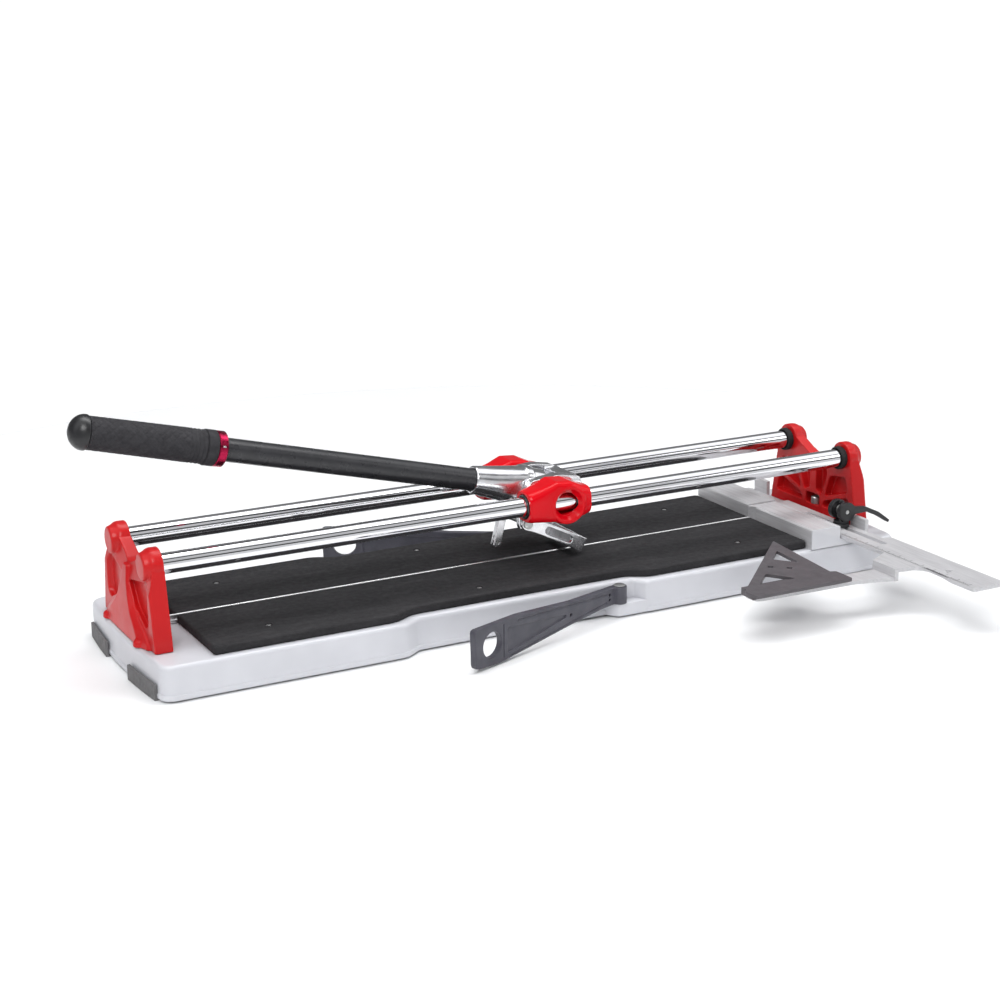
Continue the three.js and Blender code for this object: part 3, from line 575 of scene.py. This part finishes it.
# ------------------------------------------------------------------ rails and supports
LOBE_RADIUS = 18.7
SUPPORT_BOTTOM = node_box("left_support")[0].z
BOLT_X = -7.5  # from the support's inner face
CUT_END = 3.0  # outside the inner face, where the cutters of a support end
POCKET_FLOOR = -10.4
SOCKET_FLOOR = -16.4
RIDGE_SEAT_FLOOR = -14.6


def make_rails():
    for name, side in SIDES.items():
        low, high = node_box(f"rail_{name}")
        bar = sleeve(f"guide_rail_{name}", RAIL_RADIUS, 4.3, "X", (side * RAIL_Y, RAIL_Z), low.x,
                     high.x, 0.8, 96)
        piece(bar, "bench", LOOKS["rail_chrome"], f"rail_{name}")
        low, high = node_box(f"bumper_{name}")
        stop = sleeve(f"stop_ring_{name}", (high.z - low.z) / 2, RAIL_BORE, "X",
                      (side * RAIL_Y, RAIL_Z), low.x, high.x, 1.6, 64)
        piece(stop, "bench", LOOKS["black_rubber"], f"bumper_{name}")


# Height, depth from the inner face and half width of the skirt on a support's outer side.
SKIRT = [(SUPPORT_BOTTOM + 0.05, 28, 80), (46, 27.5, 76), (56, 27, 62), (66, 26, 42), (78, 24.5, 26),
         (96, 22.5, 13), (113, 20.2, 8)]


def support_solid():
    """The left-hand casting with its inner face at X = 0 and its outer side towards -X."""
    bottom = SUPPORT_BOTTOM
    legs = [(-87, bottom), (87, bottom), (85.5, 52), (73.4, 122), (54.7, 130), (44, 134), (8, 116.5),
            (0, 114.5), (-8, 116.5), (-44, 134), (-54.7, 130), (-73.4, 122), (-85.5, 52)]
    drawn_in = [(y * 0.985, z) for y, z in legs]
    body = tapered("support", [(-19.5, drawn_in), (-17, legs), (0, legs)], "X")
    sloped_top = [(-30, 98), (-19.6, 98), (-13.5, 120), (-13.5, 150), (-30, 150)]
    carve(body, prism("wedge", sloped_top, "Y", -120, 120))
    lobe = [(0, -20.6), (12.6, -20.6), (14.4, -19.6), (15.0, -17.5), (16.2, -14.5), (18.2, -11.5),
            (LOBE_RADIUS, -9), (LOBE_RADIUS, -0.06), (0, -0.06)]
    lobes = [turned("lobe", lobe, "X", (side * RAIL_Y, RAIL_Z), 64) for side in SIDES.values()]
    skirt = []
    for z, depth, half in SKIRT:
        side = [(-10, -half), (-10 - (depth - 10) * 0.7, -0.9 * half), (-depth, -0.66 * half)]
        skirt.append((z, side + [(x, -y) for x, y in reversed(side)]))
    shield = tapered("shield", skirt, "Z")
    lugs = [turned("lug", [(0, bottom + 0.1), (7.5, bottom + 0.1), (6.8, 45), (5, 47), (0, 47)], "Z",
                   (-24.5, side * 52), 32) for side in SIDES.values()]
    return weld(body, *lobes, shield, *lugs)


def support_cutters():
    """The pockets of the inner side, the windows of the outer one and the seats between them."""
    pockets = []
    for side in SIDES.values():
        for outline in ([(20, 54), (76, 54), (70, 76), (24, 62)],
                        [(24, 68), (69, 82), (64, 101), (34, 96)],
                        [(6, 72), (18, 68), (29, 98), (22, 108), (6, 104)]):
            points = rounded([(side * y, z) for y, z in outline], 4)
            pockets.append(prism("pocket", points, "X", POCKET_FLOOR, CUT_END))
    windows = []
    for side in SIDES.values():
        opening = [(9, 99), (64, 109), (69, 100), (69, 66), (60, 59.5), (27, 74)]
        outer, floor = (rounded([(side * (y - grow), z - grow * 0.5) for y, z in opening], 5)
                        for grow in (0, 2.5))
        windows.append(tapered("window", [(-45, outer), (-19, outer), (-13.4, floor)], "X"))
    seat = prism("seat", rounded([(-14, 52), (14, 52), (14, 66), (-14, 66)], 3), "X",
                 RIDGE_SEAT_FLOOR, CUT_END)
    sockets = [turned("socket", [(RAIL_BORE, SOCKET_FLOOR), (RAIL_BORE, CUT_END)], "X",
                      (side * RAIL_Y, RAIL_Z), 64) for side in SIDES.values()]
    return [*pockets, *windows, seat, *sockets]


def make_supports():
    master = support_solid()
    carve(master, *support_cutters())
    cast(master, 0.8, 7)
    for end, sign in ENDS.items():
        support = master.copy()
        support.data = master.data.copy()
        support.name = f"end_casting_{end}"
        bpy.context.scene.collection.objects.link(support)
        if sign > 0:
            mirrored(support, "X")
        moved(support, Matrix.Translation((SUPPORT_FACE[end] * MM, 0, 0)))
        piece(support, "bench", LOOKS["red_paint"], f"{end}_support", crease=80)
        place = (SUPPORT_FACE[end] - sign * BOLT_X, 0)
        bolt = turned(f"support_screw_{end}", [
            (0, 40), (5, 40), (5, 52.3), (7.2, 52.3), (7.4, 52.8), (7.4, 60.3), (6.4, 61.2),
            (4.6, 61.2), (4.4, 60.8), (4.2, 57), (0, 57)], "Z", place, 48)
        piece(bolt, "bench", LOOKS["screw_steel"], f"{end}_support_bolt")
    bpy.data.objects.remove(master)
    for end in ENDS:
        for side in SIDES:
            node = f"rail_screw_{end}_{side}"
            screw = soften(cad_copy(f"grub_{node}", node), 0.2, 2)
            piece(screw, "bench", LOOKS["screw_steel"], node)


# ------------------------------------------------------------------ fence and side stop
FENCE_LOW, FENCE_HIGH = node_box("fence_block")
FENCE_TOP = 63.4
FENCE_BACK = 376.0
FENCE_CAP = 1.6  # thickness of the lighter plate on the fence's front end, a painted highlight for the brightly lit end face
CHANNEL = {"floor": 47.6, "end": 414.0, "step": 46.3}
RULER = {"front": 377.0, "top": 52.3, "tip": -359.0}
MARKS = {"first": 12, "pitch": 2, "count": 112, "half_width": 0.3,
         "long": 7, "middle": 4.2, "short": 3}


def make_fence():
    x, top = FENCE_LOW.x, FENCE_TOP
    floor, end, step = CHANNEL["floor"], CHANNEL["end"], CHANNEL["step"]
    groove = [(x + 3, top), (x + 3.4, top - 0.5), (x + 4.4, top - 0.5), (x + 4.8, top)]
    far_groove = [(px + 32, pz) for px, pz in groove]
    profile = [(x, FENCE_LOW.z), (x, top - 1.2), (x + 1.2, top), *groove, *far_groove,
               (FENCE_BACK - 1, top), (FENCE_BACK, top - 1), (FENCE_BACK, floor), (end, floor),
               (end, step), (FENCE_HIGH.x, step), (FENCE_HIGH.x, FENCE_LOW.z)]
    rail = prism("fence", profile, "Y", FENCE_LOW.y + FENCE_CAP, FENCE_HIGH.y)
    lugs = [soften(block("lug", (413.6, FENCE_HIGH.x), span, (45.5, FENCE_HIGH.z)), 0.9)
            for span in ((FENCE_LOW.y + FENCE_CAP, -96), (76, 103))]
    weld(rail, *lugs)
    notch = turned("notch", [(8.5, 44), (8.5, 80)], "Z", (x - 3, -4), 48)
    trough = prism("trough", rounded([(-12.5, 61), (4.5, 61), (4.5, 70), (-12.5, 70)], 1.5), "X",
                   x - 1, FENCE_BACK + 1)
    carve(rail, notch, trough)
    soften(rail, 0.35, 2)
    piece(rail, "bench", LOOKS["aluminium"], "fence_block", crease=30)
    # A thin plate in the lighter base paint on the front end: a painted highlight for the brightly lit
    # end face.
    outline = rounded([(x, FENCE_LOW.z), (x, top, 1.5), (FENCE_BACK, top, 1.5), (FENCE_BACK, floor),
                       (FENCE_HIGH.x, floor), (FENCE_HIGH.x, FENCE_LOW.z)])
    cap = soften(prism("fence_end_highlight_cap", outline, "Y", FENCE_LOW.y, FENCE_LOW.y + FENCE_CAP), 0.4, 2)
    piece(cap, "bench", LOOKS["base_paint"], crease=30)


def ruler_marks():
    """Thin raised scale marks; every fifth one is longer and every tenth one the longest."""
    start = RULER["front"] + 1.2
    low, high = RULER["top"] - 0.3, RULER["top"] + 0.06
    vertices, faces = [], []
    for index in range(MARKS["count"]):
        kind = "long" if index % 10 == 0 else "middle" if index % 5 == 0 else "short"
        end = start + MARKS[kind]
        near, far = around(RULER["tip"] + MARKS["first"] + index * MARKS["pitch"], MARKS["half_width"])
        across = [(start, near), (end, near), (end, far), (start, far)]
        base = len(vertices)
        vertices += [(u, v, low) for u, v in across] + [(u, v, high) for u, v in across]
        faces += [(base, base + 1, base + 2, base + 3), (base + 4, base + 5, base + 6, base + 7)]
        faces += [(base + k, base + (k + 1) % 4, base + 4 + (k + 1) % 4, base + 4 + k)
                  for k in range(4)]
    return make_object("ruler_marks", vertices, faces)


def make_side_stop():
    plate = soften(cad_copy("side_stop_plate", "side_stop"), 0.45, 2)
    piece(plate, "stop", LOOKS["aluminium"], "side_stop", crease=30)
    piece(ruler_marks(), "stop", LOOKS["black_plastic"])


def make_square():
    plate = soften(cad_copy("angle_square", "square_plate"), 0.5, 3)
    piece(plate, "square", LOOKS["square_plastic"], "square_plate", crease=30)


# ------------------------------------------------------------------ clamp
def make_cam():
    for node, look in (("cam_stud", "screw_steel"), ("cam_nut", "screw_steel"),
                       ("cam_pin", "screw_steel"), ("cam_shoe", "black_plastic")):
        part = soften(cad_copy(f"clamp_{node}", node), 0.3, 2)
        piece(part, "bench", LOOKS[look], node)
    centre = (CAM_PIN.x, CAM_PIN.z)
    discs = []  # one on each side of the stud
    for low, high in ((-12, -5.2), (5.2, 12)):
        profile = [(2.9, low), (10.2, low), (11.4, low + 1), (11.8, low + 2), (11.8, high - 2),
                   (11.4, high - 1), (10.2, high), (2.9, high)]
        discs.append(turned("disc", [(r, CAM_PIN.y + w) for r, w in profile], "Y", centre, 64, True))
    knob = discs[0]
    weld(knob, discs[1])
    lever = cad_copy("lever", "cam_lever")
    weld(knob, lever)
    knob.name = "clamp_lever"
    cast(knob, 0.45, 4)
    piece(knob, "cam", LOOKS["black_plastic"], "cam_lever", crease=80)


# ------------------------------------------------------------------ side arms
ARM_SWING = {"front": math.radians(20), "rear": math.radians(27)}  # out from the base, as pictured


def arm_recesses(side):
    """Cutters for the moulded face of an arm, with the hinge at the origin and the arm along -X."""
    outer = side * 0.4  # the face that looks away from the base
    panel = [(-188, 38.5, 3), (-188, 9.5, 3), (-92, 24.6, 2), (-92, 27.4, 2)]
    upper = [(-172, 43.6, 1), (-172, 41.4, 1), (-22, 30.6, 1), (-22, 32.8, 1)]
    lower = [(-186, 6.6, 1), (-186, 4.4, 1), (-22, 21.6, 1), (-22, 23.8, 1)]
    across = [(-192.6, 44, 0.5), (-192.6, 6, 0.5), (-194.6, 5.6, 0.5), (-194.6, 44, 0.5)]
    pips = [circle(1.7, 20, (-17, z)) for z in (24.6, 30.4)]
    cutters = []
    for outline, depth in ((panel, 2.2), (upper, 1.3), (lower, 1.3), (across, 1.4),
                           (pips[0], 4), (pips[1], 4)):
        span = sorted((outer + side * 3, outer - side * depth))
        cutters.append(prism("recess", rounded(outline), "Y", *span))
    back = [(-188, 37.5, 3), (-188, 10.5, 3), (-30, 24, 3), (-30, 31, 3)]
    span = sorted((outer - side * 5.2, outer - side * 12))
    cutters.append(prism("recess", rounded(back), "Y", *span))
    return cutters


def make_arms():
    for name, side in SIDES.items():
        hinge = (ARM_HINGE.x, side * abs(ARM_HINGE.y))
        swing = Matrix.Rotation(-side * ARM_SWING[name], 4, "Z")
        into_place = Matrix.Translation((hinge[0] * MM, hinge[1] * MM, 0)) @ swing
        arm = cad_copy(f"support_arm_{name}", f"arm_{name}")
        moved(arm, into_place.inverted())
        soften(arm, 0.7, 2)
        carve(arm, *arm_recesses(side))
        moved(cast(arm, 0.55, 3), into_place)
        piece(arm, f"{name}_arm", LOOKS["arm_plastic"], f"arm_{name}", crease=80)
        pin = turned(f"arm_hinge_pin_{name}", [(0, 8), (3, 8), (3, 37.6), (6, 37.6), (6.5, 38),
                                               (6.3, 38.6), (5.2, 39), (0, 39)], "Z", hinge, 40)
        piece(pin, "bench", LOOKS["screw_steel"], f"arm_pin_{name}")


# ------------------------------------------------------------------ carriage
SLEEVE_LEFT, SLEEVE_RIGHT = node_box("housing_front")[0].x, node_box("housing_front")[1].x
BOSS_X = PIVOT.x + 5
HOUSING_BORE = 14.2
BUSH_RADIUS = 13.7


def housing_section(width, low, high, corner):
    """A rounded section about the rail in Y, Z."""
    return rounded([(-width, low), (width, low), (width, high), (-width, high)], corner, 6)


def make_housings():
    for name, side in SIDES.items():
        stations = [
            (SLEEVE_LEFT, housing_section(16.6, -16.8, 16.8, 13)),
            (SLEEVE_LEFT + 3, housing_section(17.6, -17.6, 17.8, 13)),
            (BOSS_X - 30, housing_section(18.4, -18.5, 21.5, 11)),
            (BOSS_X - 13, housing_section(19, -19.5, 27.5, 8)),
            (BOSS_X + 5, housing_section(19, -19, 26, 8)),
            (BOSS_X + 22, housing_section(18, -17.5, 18.5, 11)),
            (SLEEVE_RIGHT, housing_section(16, -16.2, 16.2, 13)),
        ]
        stations = [(x, [(side * RAIL_Y + y, RAIL_Z + z) for y, z in outline])
                    for x, outline in stations]
        shell = tapered(f"carriage_housing_{name}", stations, "X")
        boss = [(24.5, side * 50), (24, side * 66), (22.2, side * 73.4), (21, side * 74)]
        ring = turned("boss", boss, "Y", (BOSS_X, RAIL_Z), 64)
        weld(shell, ring)
        opening = [(13, side * RAIL_Y), (13, side * 67.5), (18.6, side * 74.5), (20, side * 78)]
        bore = turned("bore", [(HOUSING_BORE, SLEEVE_LEFT - 5), (HOUSING_BORE, SLEEVE_RIGHT + 5)], "X",
                      (side * RAIL_Y, RAIL_Z), 64)
        carve(shell, turned("opening", opening, "Y", (BOSS_X, RAIL_Z), 64), bore)
        inside = block("inside", (SLEEVE_LEFT - 5, SLEEVE_RIGHT + 5),
                       tuple(sorted((side * 20, side * 35.3))), (80, 170))
        carve(shell, inside)
        cast(shell, 0.6, 5)
        piece(shell, "carriage", LOOKS["carriage_red"], f"housing_{name}", crease=80)
        for end in ENDS:
            node = f"rail_bush_{name}_{end}"
            low, high = node_box(node)
            bush = sleeve(f"slide_bush_{name}_{end}", BUSH_RADIUS, RAIL_BORE, "X",
                          (side * RAIL_Y, RAIL_Z), low.x, high.x, 0.7, 64)
            piece(bush, "carriage", LOOKS["black_plastic"], node)


def make_carriage_body():
    body = cast(cad_copy("carriage_block", "carriage_body"), 0.6, 8)
    piece(body, "carriage", LOOKS["polished_chrome"], "carriage_body", crease=80)
    for node in ("magnet", "pivot_bolt", "breaker_pin"):
        part = soften(cad_copy(f"carriage_{node}", node), 0.4, 2)
        piece(part, "carriage", LOOKS["screw_steel"], node)


def make_breaker():
    foot = cast(cad_copy("breaker_plate", "breaker_foot"), 0.5, 4)
    piece(foot, "breaker", LOOKS["polished_chrome"], "breaker_foot", crease=80)


# ------------------------------------------------------------------ lever
TUBE_RADIUS = 12.8
TUBE_BORE = 10.8
TUBE_END, TUBE_START = -514.0, -36.0
SOCKET_RADIUS = TUBE_RADIUS + 0.3  # the hole in anything that goes round the tube
RING = {"radius": 19.2, "end": -394.0, "start": -384.5}


def on_lever(obj):
    return moved(obj, LEVER)


def make_lever():
    tube = on_lever(sleeve("handle_tube", TUBE_RADIUS, TUBE_BORE, "X", (0, 0), TUBE_END, TUBE_START,
                           0.4, 72))
    piece(tube, "lever", LOOKS["lever_paint"], "lever_tube")
    ring = on_lever(sleeve("handle_ring", RING["radius"], SOCKET_RADIUS, "X", (0, 0), RING["end"],
                           RING["start"], 0.9, 72))
    piece(ring, "lever", LOOKS["ring_anodised"], "grip_ring")
    for node in ("ring_screw", "wheel_holder_screw"):
        part = soften(cad_copy(f"handle_{node}", node), 0.2, 2)
        piece(part, "lever", LOOKS["screw_steel"], node)
    holder = on_lever(cast(holder_solid(), 0.55, 6))
    piece(holder, "lever", LOOKS["polished_chrome"], "lever_holder", crease=80)


HOLDER_HALF = 21.5  # the barrel is cut flat at this half width
HOLDER_POWER = 3.2  # of the superellipse that the barrel turns into towards the pivot
SQUARING = {"from": -70, "over": 55, "amount": 0.75}


def holder_solid():
    """The chromed socket between the tube and the pivot: a flared barrel with a raised collar."""
    # Place along the lever, half width and half height.
    stations = [(-83.2, 15.0, 15.0), (-82, 16.0, 16.0), (-78, 16.4, 16.4), (-60, 18.2, 18.0),
                (-38, 20.6, 20.6), (-22, 21.2, 22.4), (-20.5, 21.4, 24.2), (-13, 21.4, 24.4),
                (-11.5, 21.3, 22.6), (4, 21.2, 21.8), (13, 20.4, 17.5), (18.5, 18, 11)]
    rings = []
    for x, wide, high in stations:
        ring = []
        for u, v in circle(1.0, 72):
            power_sum = abs(u) ** HOLDER_POWER + abs(v) ** HOLDER_POWER
            square = 1 / power_sum ** (1 / HOLDER_POWER)
            share = min(1.0, max(0.0, (x - SQUARING["from"]) / SQUARING["over"]))
            reach = 1 + (square - 1) * SQUARING["amount"] * share
            ring.append((x, max(-HOLDER_HALF, min(HOLDER_HALF, wide * u * reach)), high * v * reach))
        rings.append(ring)
    solid = loft("handle_holder", rings)
    socket = turned("socket", [(SOCKET_RADIUS, -95), (SOCKET_RADIUS, -34)], "X", (0, 0), 64)
    pivot_hole = turned("pivot_hole", [(5.3, -30), (5.3, 30)], "Y", (0, 0), 32)
    wheel_slot = block("wheel_slot", (-40, -28), (-4.3, 4.3), (-60, -14.5))
    screw_hole = turned("screw_hole", [(2.8, -40), (2.8, -4.5)], "Y", (-34, -19.5), 24)
    return carve(solid, socket, pivot_hole, wheel_slot, screw_hole)


GRIP_TAIL, GRIP_HEAD = -531.9, -394.4
GRIP_BORE = 13.2
GRIP_RINGS = {"count": 149, "pitch": 0.85, "points": 168}
GRIP_TAPER = {"radius": 18.6, "at": -402, "slope": 1 / 130}
FLANGE = {"start": -406, "radius": 19.3, "tail": -405.9, "edge": 0.7}
RIBS = {"end": -424, "pitch": 4.5, "depth": 0.9}
HATCH = {"turns": 14, "pitch": 8.5, "depth": 0.7, "width": 0.16}


def grip_radius(x, angle):
    """The grip's surface: a flange, four ribs and then a diamond hatch."""
    radius = GRIP_TAPER["radius"] + (x - GRIP_TAPER["at"]) * GRIP_TAPER["slope"]
    if x > FLANGE["start"]:
        return FLANGE["radius"] - (FLANGE["edge"] if x in (FLANGE["tail"], GRIP_HEAD) else 0.0)
    if x > RIBS["end"]:
        wave = math.cos(2 * math.pi * (x - FLANGE["start"]) / RIBS["pitch"])
        return radius - RIBS["depth"] * (0.5 + 0.5 * wave)
    turns = HATCH["turns"] * angle / (2 * math.pi)
    grooves = []
    for direction in (-1, 1):
        phase = (turns + direction * x / HATCH["pitch"]) % 1.0
        grooves.append(min(phase, 1 - phase))
    return radius - HATCH["depth"] * max(0.0, 1 - min(grooves) / HATCH["width"])


def make_grip():
    count = GRIP_RINGS["points"]
    angles = [2 * math.pi * i / count for i in range(count)]
    places = [GRIP_TAIL + k * GRIP_RINGS["pitch"] for k in range(GRIP_RINGS["count"])]
    places += [FLANGE["tail"], -405.5, -395.2, GRIP_HEAD]
    rings = [[(GRIP_TAIL, *point) for point in circle(GRIP_BORE, count)]]
    for x in places:
        radii = [grip_radius(x, angle) for angle in angles]
        rings.append([(x, r * math.cos(a), r * math.sin(a)) for a, r in zip(angles, radii)])
    rings.append([(GRIP_HEAD, *point) for point in circle(GRIP_BORE, count)])
    handle = on_lever(loft("handle_grip", rings, closed=True))
    piece(handle, "lever", LOOKS["grip_rubber"], "grip", crease=50)
    dome = [(0, 0), (17.4, 0), (18.6, -1), (18.8, -2.4)]
    dome += [(18.8 * math.cos(a), -2.4 - 16.6 * math.sin(a))
             for a in (math.pi / 2 * k / 12 for k in range(1, 13))]
    cap = turned("handle_end_cap", [(max(r, 0), -532.3 + w) for r, w in dome], "X", (0, 0), 72)
    piece(on_lever(cap), "lever", LOOKS["black_plastic"], "grip_end_cap")


def make_wheel():
    for node in ("wheel_holder", "wheel_axle"):
        look = "polished_chrome" if node == "wheel_holder" else "screw_steel"
        part = soften(cad_copy(f"cutter_{node}", node), 0.5 if node == "wheel_holder" else 0.2, 3)
        piece(part, "lever", LOOKS[look], node)
    profile = [(2, -1.2), (3.2, -1.2), (3.4, -0.9), (5.0, -0.9), (6.15, -0.05), (6.15, 0.05),
               (5.0, 0.9), (3.4, 0.9), (3.2, 1.2), (2, 1.2)]
    disc = turned("scoring_disc", [(r, WHEEL.y + w) for r, w in profile], "Y", (WHEEL.x, WHEEL.z), 64,
                  closed=True)
    piece(disc, "wheel", LOOKS["wheel_steel"], "scoring_wheel")


# ------------------------------------------------------------------ stage
CAMERA = {"place": (-994.5, -1868.7, 716.6), "yaw": 27.71, "pitch": 15.8, "roll": -0.62,
          "lens": 69.15}


def make_camera():
    yaw, pitch, roll = (math.radians(CAMERA[k]) for k in ("yaw", "pitch", "roll"))
    ahead = Vector((math.sin(yaw) * math.cos(pitch), math.cos(yaw) * math.cos(pitch),
                    -math.sin(pitch)))
    right = Vector((math.cos(yaw), -math.sin(yaw), 0))
    up = right.cross(ahead)
    rolled_right = right * math.cos(roll) + up * math.sin(roll)
    rolled_up = up * math.cos(roll) - right * math.sin(roll)
    data = bpy.data.cameras.new("camera")
    data.lens = CAMERA["lens"]
    data.sensor_width = 36
    data.clip_end = 50
    camera = bpy.data.objects.new("camera", data)
    bpy.context.scene.collection.objects.link(camera)
    turn = Matrix((rolled_right, rolled_up, -ahead)).transposed().to_4x4()
    camera.matrix_world = Matrix.Translation(Vector(CAMERA["place"]) * MM) @ turn
    bpy.context.scene.camera = camera


LIT_POINT = Vector((0, 0, 0.1))  # in metres


def area_light(name, place, size, power):
    """A lamp, in metres and watts, that points at the cutter."""
    data = bpy.data.lights.new(name, "AREA")
    data.shape = "RECTANGLE"
    data.size, data.size_y = size
    data.energy = power
    light = bpy.data.objects.new(name, data)
    light.location = place
    light.rotation_euler = (LIT_POINT - Vector(place)).to_track_quat("-Z", "Y").to_euler()
    bpy.context.scene.collection.objects.link(light)


# Brightness round the studio, by angle from the front horizon over the top to the back horizon.
STUDIO_BANDS = [(0, 0.72), (13, 0.76), (16, 0.06), (26, 0.06), (30, 0.55), (50, 0.62), (54, 0.10),
                (64, 0.10), (68, 1.2), (112, 1.3), (122, 0.22), (180, 0.16)]


def make_world():
    """A studio with a bright ceiling, a dark back wall and a few dark bands for the chrome to show."""
    world = bpy.data.worlds.new("studio")
    world.use_nodes = True
    nodes, links = world.node_tree.nodes, world.node_tree.links
    place = nodes.new("ShaderNodeTexCoord")
    split = nodes.new("ShaderNodeSeparateXYZ")
    links.new(place.outputs["Generated"], split.inputs["Vector"])
    front = nodes.new("ShaderNodeMath")
    front.operation = "MULTIPLY"
    front.inputs[1].default_value = -1
    links.new(split.outputs["Y"], front.inputs[0])
    angle = nodes.new("ShaderNodeMath")
    angle.operation = "ARCTAN2"
    links.new(split.outputs["Z"], angle.inputs[0])
    links.new(front.outputs[0], angle.inputs[1])
    turn = nodes.new("ShaderNodeMath")
    turn.operation = "DIVIDE"
    turn.inputs[1].default_value = math.pi
    links.new(angle.outputs[0], turn.inputs[0])
    bands = nodes.new("ShaderNodeValToRGB")
    stops = bands.color_ramp.elements
    while len(stops) < len(STUDIO_BANDS):
        stops.new(0.5)
    for stop, (degrees, level) in zip(stops, STUDIO_BANDS):
        stop.position = degrees / 180
        stop.color = (level * 0.97, level * 0.98, level, 1)
    links.new(turn.outputs[0], bands.inputs["Fac"])
    background = nodes["Background"]
    links.new(bands.outputs["Color"], background.inputs["Color"])
    background.inputs["Strength"].default_value = 1.0
    bpy.context.scene.world = world


FLOOR_RADIUS = 1150.0
DOME_RADIUS = 30000.0
DOME_DROP = 800.0  # how far the dome's middle is below the floor


def make_backdrop():
    """A white dome round the studio that only the camera sees."""
    angles = [math.radians(a) for a in range(0, 90, 10)]
    shell = [(DOME_RADIUS * math.cos(a), DOME_RADIUS * math.sin(a) - DOME_DROP) for a in angles]
    bottom = -DOME_DROP - 100
    profile = [(0, bottom), (DOME_RADIUS, bottom), *shell, (0, DOME_RADIUS - DOME_DROP)]
    dome = turned("backdrop", profile, "Z", (0, 0), 48)
    material = bpy.data.materials.new("backdrop_white")
    material.use_nodes = True
    shader = material.node_tree.nodes["Principled BSDF"]
    shader.inputs["Base Color"].default_value = (0, 0, 0, 1)
    shader.inputs["Emission Color"].default_value = (1, 1, 1, 1)
    shader.inputs["Emission Strength"].default_value = 1.0
    dome.data.materials.append(material)
    dome.visible_diffuse = False
    dome.visible_glossy = False
    dome.visible_transmission = False
    dome.visible_shadow = False


def make_stage():
    floor = prism("floor", circle(FLOOR_RADIUS, 128), "Z", -0.2, 0)
    look = Look("floor", 0.6)
    look.mottle((0.86, 0.865, 0.87), (0.88, 0.885, 0.89), 400)
    floor.data.materials.append(look.material)
    make_world()
    make_backdrop()
    area_light("key", (-1.6, -2.2, 2.6), (1.6, 1.6), 62)
    area_light("top", (0.2, 0.3, 2.6), (2.6, 0.9), 34)
    area_light("fill", (2.4, -1.4, 1.4), (1.4, 1.4), 12)
    bpy.context.scene.view_settings.view_transform = "Standard"


# ------------------------------------------------------------------ build
make_camera()
make_stage()
make_base()
make_pads()
make_ridge()
make_feet()
make_rails()
make_supports()
make_fence()
make_side_stop()
make_square()
make_cam()
make_arms()
make_housings()
make_carriage_body()
make_breaker()
make_lever()
make_grip()
make_wheel()
